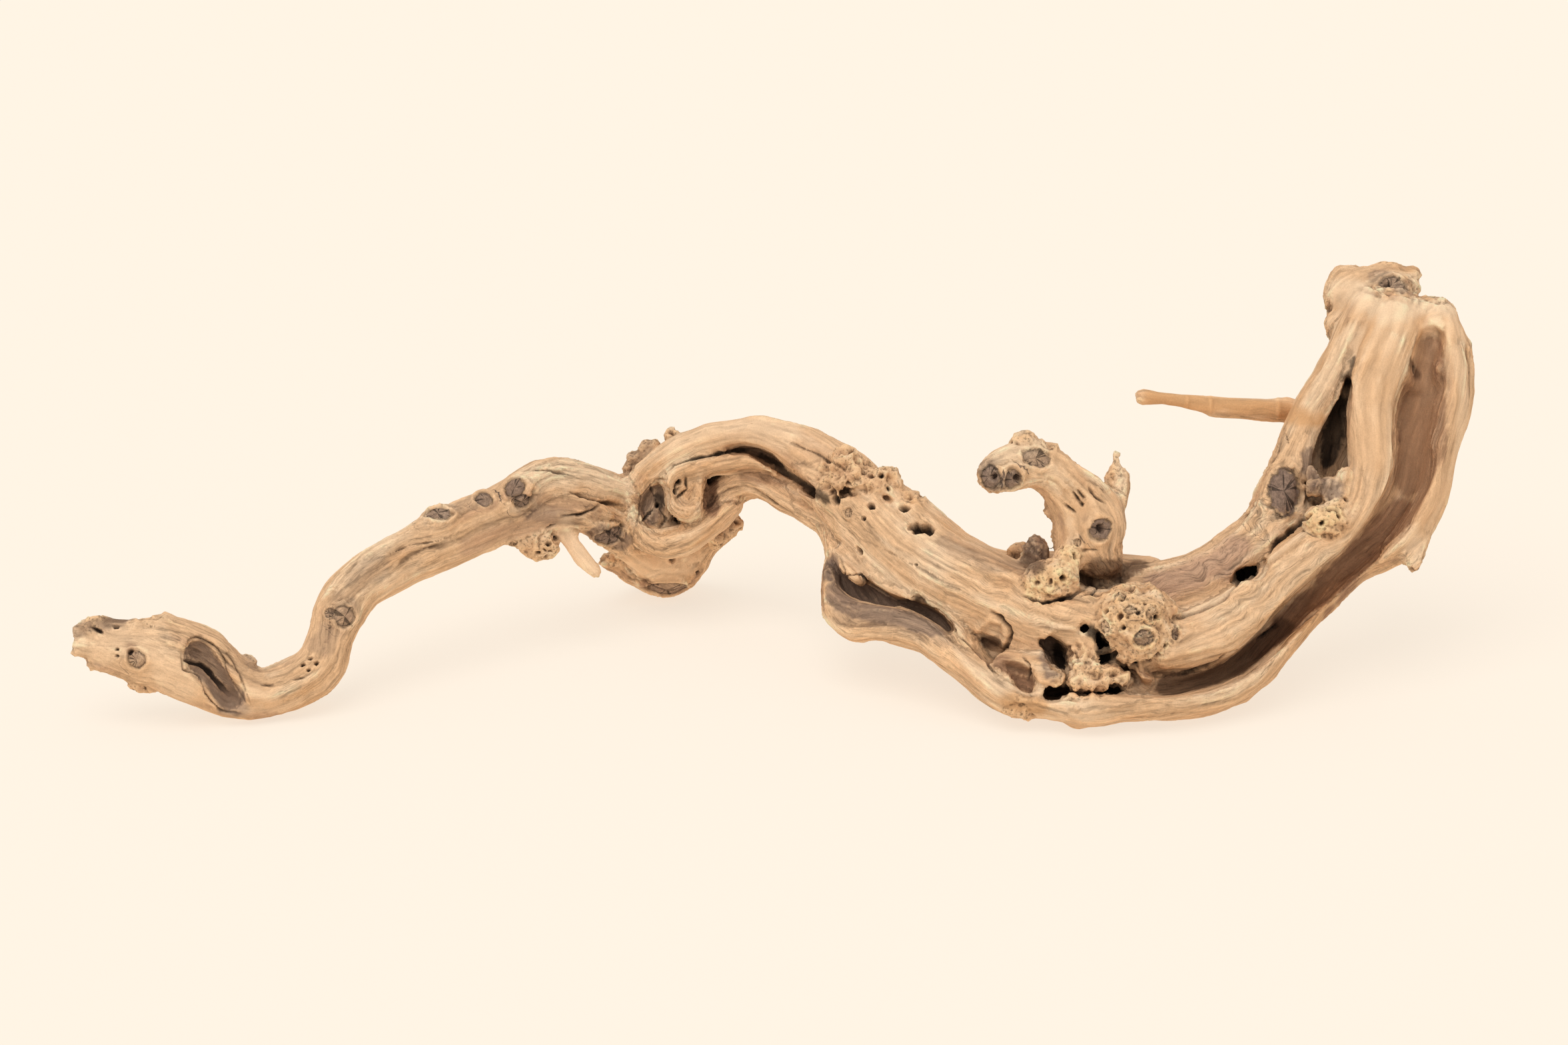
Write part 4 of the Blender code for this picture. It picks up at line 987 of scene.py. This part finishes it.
# Painted shade in hollows, by the share of rays that meet wood; the deepest go black, which also stands for
# rot.
colour = mixed(colour, "dark", 0.6 * ramp(hollow_shade_and_rot, 0.5, 0.9) * (1 - 0.7 * here["grey"]))
colour = mixed(colour, "black", 0.7 * ramp(hollow_shade_and_rot, 0.8, 1.0) * (1 - 0.7 * here["grey"]))
colour = mixed(colour, "dark", 0.8 * pit_here)
colour = mixed(colour, "black", 0.93 * np.maximum(blackened[source], here["black"]))
colour = np.clip(colour, 0.004, 0.9)

layer = wood.data.color_attributes.new("wood colour", "FLOAT_COLOR", "POINT")
opaque = np.concatenate([colour, np.ones((len(colour), 1))], axis=1)
layer.data.foreach_set("color", opaque.astype(np.float32).ravel())
print("mean colour", colour.mean(0).round(3))

# %% [markdown]
# ## Fine grain
# Under the colours run lines finer than the mesh can hold. They come from noise that is stretched
# along each strand, so every point also keeps its place along and across its strand. Round a knot
# the place across is pushed aside, and the lines part round it. A point on a knot keeps its place
# on the knot's disc as well, for the rings and the cracks of the end grain.

# %% Places along and across the strands, and on the knots
station = nearest_station(thin_points)
line_length = np.arange(len(line_points)) * STATION_SPACING
way = line_ways[station]
offset = thin_points - line_points[station]
across_way = unit(np.cross(way, AWAY))
deep_way = np.cross(across_way, way)
aside, deep = (offset * across_way).sum(1), (offset * deep_way).sum(1)
along = line_length[station] + (offset * way).sum(1)
WAVE_HEIGHT, WAVE_LENGTH, WAVE_SLANT = 3 * MM, 26 * MM, 70 * MM
turns = along / WAVE_LENGTH + aside / WAVE_SLANT + 0.5 * cloud_at(thin_points, 30 * MM, 121)
aside = aside + WAVE_HEIGHT * here["wavy"] * np.sin(math.tau * turns)
grain_places = np.stack([aside, deep, along], axis=1)
FAR = 9.0  # for points on no knot
knot_places = np.tile((FAR, FAR, 0.0), (len(thin_points), 1))
knot_gap = np.full(len(thin_points), FAR)
knot_grey = np.zeros(len(thin_points))
for index, (centre, normal, half_width, half_height, _, grey) in enumerate(knots):
    size = max(half_width, half_height) * MM
    from_knot = thin_points - centre
    reach = np.linalg.norm(from_knot, axis=1)
    near = (reach < size * KNOT_REACH) & (reach > size * 0.3)
    sideways = (from_knot[near] * across_way[near]).sum(1)
    grain_places[near, 0] -= sideways * np.minimum(1, (size / reach[near]) ** 2)
    near, right, up, out = near_mark(thin_points, centre, normal, 2.2 * size)
    right, up = right / (half_width * MM), up / (half_height * MM)
    gap = np.sqrt(right**2 + up**2)
    nearer = (gap < knot_gap[near]) & (np.abs(out) < MARK_DEPTH)
    knot_gap[near[nearer]] = gap[nearer]
    knot_grey[near[nearer]] = grey
    knot_places[near[nearer]] = np.stack([right, up, np.full(len(right), 3.0 * index)], axis=1)[nearer]

for name, values in (("grain place", grain_places), ("knot place", knot_places)):
    made = wood.data.attributes.new(name, "FLOAT_VECTOR", "POINT")
    made.data.foreach_set("vector", values.astype(np.float32).ravel())
numbers = {"calm": calm_here, "burl": burl_here, "worn": weathering[source], "knot grey": knot_grey}
for name, values in numbers.items():
    made = wood.data.attributes.new(name, "FLOAT", "POINT")
    made.data.foreach_set("value", values.astype(np.float32))

# %% [markdown]
# ## The wood's finish
# Bare dry wood has no gloss to speak of. The shader takes the mixed colour, darkens it along the
# fine grain lines and in the cracks of the knots, and raises the same lines as a slight bump.

# %% Short names for the nodes that the material is made of
weathered = bpy.data.materials.new("weathered_vine_wood")
weathered.use_nodes = True
nodes, links = weathered.node_tree.nodes, weathered.node_tree.links
shader = nodes["Principled BSDF"]
shader.inputs["Roughness"].default_value = 0.85
shader.inputs["Specular IOR Level"].default_value = 0.2


def attribute(name, output="Fac"):
    made = nodes.new("ShaderNodeAttribute")
    made.attribute_name = name
    return made.outputs[output]


def feed(made, values):
    """Puts each value on its socket: a number as it is, another node's result by a link."""
    for socket, value in zip(made.inputs, values):
        if isinstance(value, (int, float, tuple)):
            socket.default_value = value
        else:
            links.new(value, socket)
    return made.outputs[0]


def math_node(kind, *values):
    made = nodes.new("ShaderNodeMath")
    made.operation = kind
    return feed(made, values)


def product(first, second):
    return math_node("MULTIPLY", first, second)


def vector_node(kind, *values):
    made = nodes.new("ShaderNodeVectorMath")
    made.operation = kind
    feed(made, values)
    return made.outputs["Value" if kind == "LENGTH" else "Vector"]


def noise_node(vector, scale, detail, roughness=0.5):
    made = nodes.new("ShaderNodeTexNoise")
    for name, value in (("Scale", scale), ("Detail", detail), ("Roughness", roughness)):
        made.inputs[name].default_value = value
    links.new(vector, made.inputs["Vector"])
    return made.outputs["Fac"]


def map_range(value, low, high, to_low, to_high):
    made = nodes.new("ShaderNodeMapRange")
    feed(made, (value, low, high, to_low, to_high))
    return made.outputs["Result"]


def eased(factor, share):
    """A factor brought towards 1 where the share is small."""
    return math_node("MULTIPLY_ADD", math_node("SUBTRACT", factor, 1.0), share, 1.0)


# %% Grain lines
objects = nodes.new("ShaderNodeTexCoord").outputs["Object"]
stray = nodes.new("ShaderNodeTexNoise")
stray.inputs["Scale"].default_value = 70.0
stray.inputs["Detail"].default_value = 1.0
links.new(objects, stray.inputs["Vector"])
centred = vector_node("SUBTRACT", stray.outputs["Color"], (0.5, 0.5, 0.5))
stray_by = vector_node("MULTIPLY", centred, (0.004, 0.004, 0.0))
wavy_place = vector_node("ADD", attribute("grain place", "Vector"), stray_by)
lines_fine = noise_node(vector_node("MULTIPLY", wavy_place, (1.0, 1.0, 0.03)), 1500.0, 3.0, 0.6)
lines_broad = noise_node(vector_node("MULTIPLY", wavy_place, (1.0, 1.0, 0.035)), 520.0, 3.0, 0.6)
fuzz = noise_node(objects, 1100.0, 3.0)
pores = noise_node(objects, 480.0, 2.0)

calm_value, burl_value, worn_value = attribute("calm"), attribute("burl"), attribute("worn")
broad_dark, fine_dark = (0.34, 0.46, 0.62, 1.0), (0.36, 0.47, 0.78, 1.0)
broad_soft, fine_soft = (0.35, 0.65, 0.90, 1.08), (0.35, 0.65, 0.90, 1.07)
dark_lines = product(map_range(lines_broad, *broad_dark), map_range(lines_fine, *fine_dark))
soft_lines = product(map_range(lines_fine, *fine_soft), map_range(lines_broad, *broad_soft))
shade = product(eased(soft_lines, calm_value), eased(dark_lines, product(calm_value, worn_value)))
shade = product(shade, map_range(fuzz, 0.35, 0.65, 0.94, 1.05))
shade = product(shade, eased(map_range(pores, 0.34, 0.46, 0.5, 1.0), burl_value))

# %% End grain on the knots
knot_vector = attribute("knot place", "Vector")
flat_place = vector_node("MULTIPLY", knot_vector, (1.0, 1.0, 0.0))
wobble = math_node("MULTIPLY_ADD", noise_node(objects, 300.0, 2.0), 0.7, -0.35)
ring_place = math_node("ADD", vector_node("LENGTH", flat_place), wobble)
on_knot = map_range(ring_place, 0.88, 1.0, 1.0, 0.0)
own_place = vector_node("MULTIPLY", knot_vector, (0.16, 0.16, 1.0))
spokes = noise_node(vector_node("ADD", vector_node("NORMALIZE", flat_place), own_place), 2.6, 1.0)
cracks = map_range(spokes, 0.43, 0.38, 0.0, 1.0)
ringed = math_node("SINE", product(ring_place, 34.0))
from_rim = math_node("ABSOLUTE", math_node("SUBTRACT", ring_place, 0.98))
rim = math_node("MAXIMUM", math_node("SUBTRACT", 1.0, product(from_rim, 12.0)), 0.0)
dirt = map_range(noise_node(objects, 420.0, 2.0), 0.35, 0.65, 0.82, 1.22)
cracked = math_node("MULTIPLY_ADD", cracks, -0.68, 1.0)
light_and_dark = product(math_node("MULTIPLY_ADD", ringed, 0.12, 1.0), cracked)
shade = product(shade, eased(product(light_and_dark, dirt), on_knot))
shade = product(shade, math_node("MULTIPLY_ADD", rim, -0.5, 1.0))

# %% Join the nodes to the shader
greyed_wood = nodes.new("ShaderNodeMix")
greyed_wood.data_type = "RGBA"
links.new(product(on_knot, attribute("knot grey")), greyed_wood.inputs["Factor"])
links.new(attribute("wood colour", "Color"), greyed_wood.inputs["A"])
greyed_wood.inputs["B"].default_value = (*COLOURS["grey"], 1)
painted = nodes.new("ShaderNodeVectorMath")
painted.operation = "SCALE"
links.new(greyed_wood.outputs["Result"], painted.inputs[0])
links.new(shade, painted.inputs["Scale"])
links.new(painted.outputs["Vector"], shader.inputs["Base Color"])

relief = product(math_node("ADD", product(lines_fine, 0.6), lines_broad), calm_value)
relief = math_node("ADD", relief, product(fuzz, 0.3))
relief = math_node("ADD", relief, product(product(pores, burl_value), 1.6))
relief = math_node("SUBTRACT", relief, product(product(cracks, on_knot), 0.8))
bump = nodes.new("ShaderNodeBump")
bump.inputs["Strength"].default_value = 0.8
bump.inputs["Distance"].default_value = 0.0009
links.new(relief, bump.inputs["Height"])
links.new(bump.outputs["Normal"], shader.inputs["Normal"])

wood.data.materials.append(weathered)
only(wood)
bpy.ops.object.shade_smooth()
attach(wood, "root")
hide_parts("driftwood")
print("material:", weathered.name, "with", len(nodes), "nodes")

# %% [markdown]
# ## Studio
# The photograph has a cream floor that runs out of sight, with hardly any shadow. A sun with a very
# wide disc lights every part of the floor alike, so the cream stays even and the shadows stay soft.
# Most of the floor's brightness is its own glow, which keeps them faint.

# %% Floor, light and camera
CREAM_FLOOR = linear(255, 243, 227)
FLOOR_PAINT = 0.26
FLOOR_GLOW = 0.735
SKY = 0.72
SUN = 1.30
FILM_WIDTH = 36  # millimetres

bpy.ops.object.select_all(action="DESELECT")
bpy.ops.mesh.primitive_plane_add(size=24, location=(0, 0, -0.0002))
floor = bpy.context.object
floor.name = "studio_floor"
floor_finish = bpy.data.materials.new("cream_floor")
floor_finish.use_nodes = True
floor_shader = floor_finish.node_tree.nodes["Principled BSDF"]
floor_shader.inputs["Base Color"].default_value = (*CREAM_FLOOR * FLOOR_PAINT, 1)
floor_shader.inputs["Roughness"].default_value = 1.0
floor_shader.inputs["Specular IOR Level"].default_value = 0.0
floor_shader.inputs["Emission Color"].default_value = (*CREAM_FLOOR, 1)
floor_shader.inputs["Emission Strength"].default_value = FLOOR_GLOW
floor.data.materials.append(floor_finish)

world = bpy.data.worlds.new("studio_light")
bpy.context.scene.world = world
world.use_nodes = True
world.node_tree.nodes["Background"].inputs["Color"].default_value = (1.0, 1.0, 1.0, 1)
world.node_tree.nodes["Background"].inputs["Strength"].default_value = SKY

SUN_PLACE = Vector((-0.6, -1.0, 2.2))
bpy.ops.object.light_add(type="SUN", location=SUN_PLACE)
sun = bpy.context.object
sun.name = "soft_sun"
sun.data.energy = SUN
sun.data.angle = math.radians(50)
sun.rotation_mode = "QUATERNION"
sun.rotation_quaternion = (-SUN_PLACE).to_track_quat("-Z", "Y")

bpy.context.scene.view_settings.view_transform = "Standard"
bpy.ops.object.camera_add(location=EYE)
camera = bpy.context.object
camera.name = "photograph_view"
camera.rotation_mode = "QUATERNION"
camera.rotation_quaternion = Vector(AWAY).to_track_quat("-Z", "Y")
camera.data.sensor_width = FILM_WIDTH
camera.data.lens = FILM_WIDTH * EYE_DISTANCE / VIEW_WIDTH
camera.data.clip_end = 60
bpy.context.scene.camera = camera
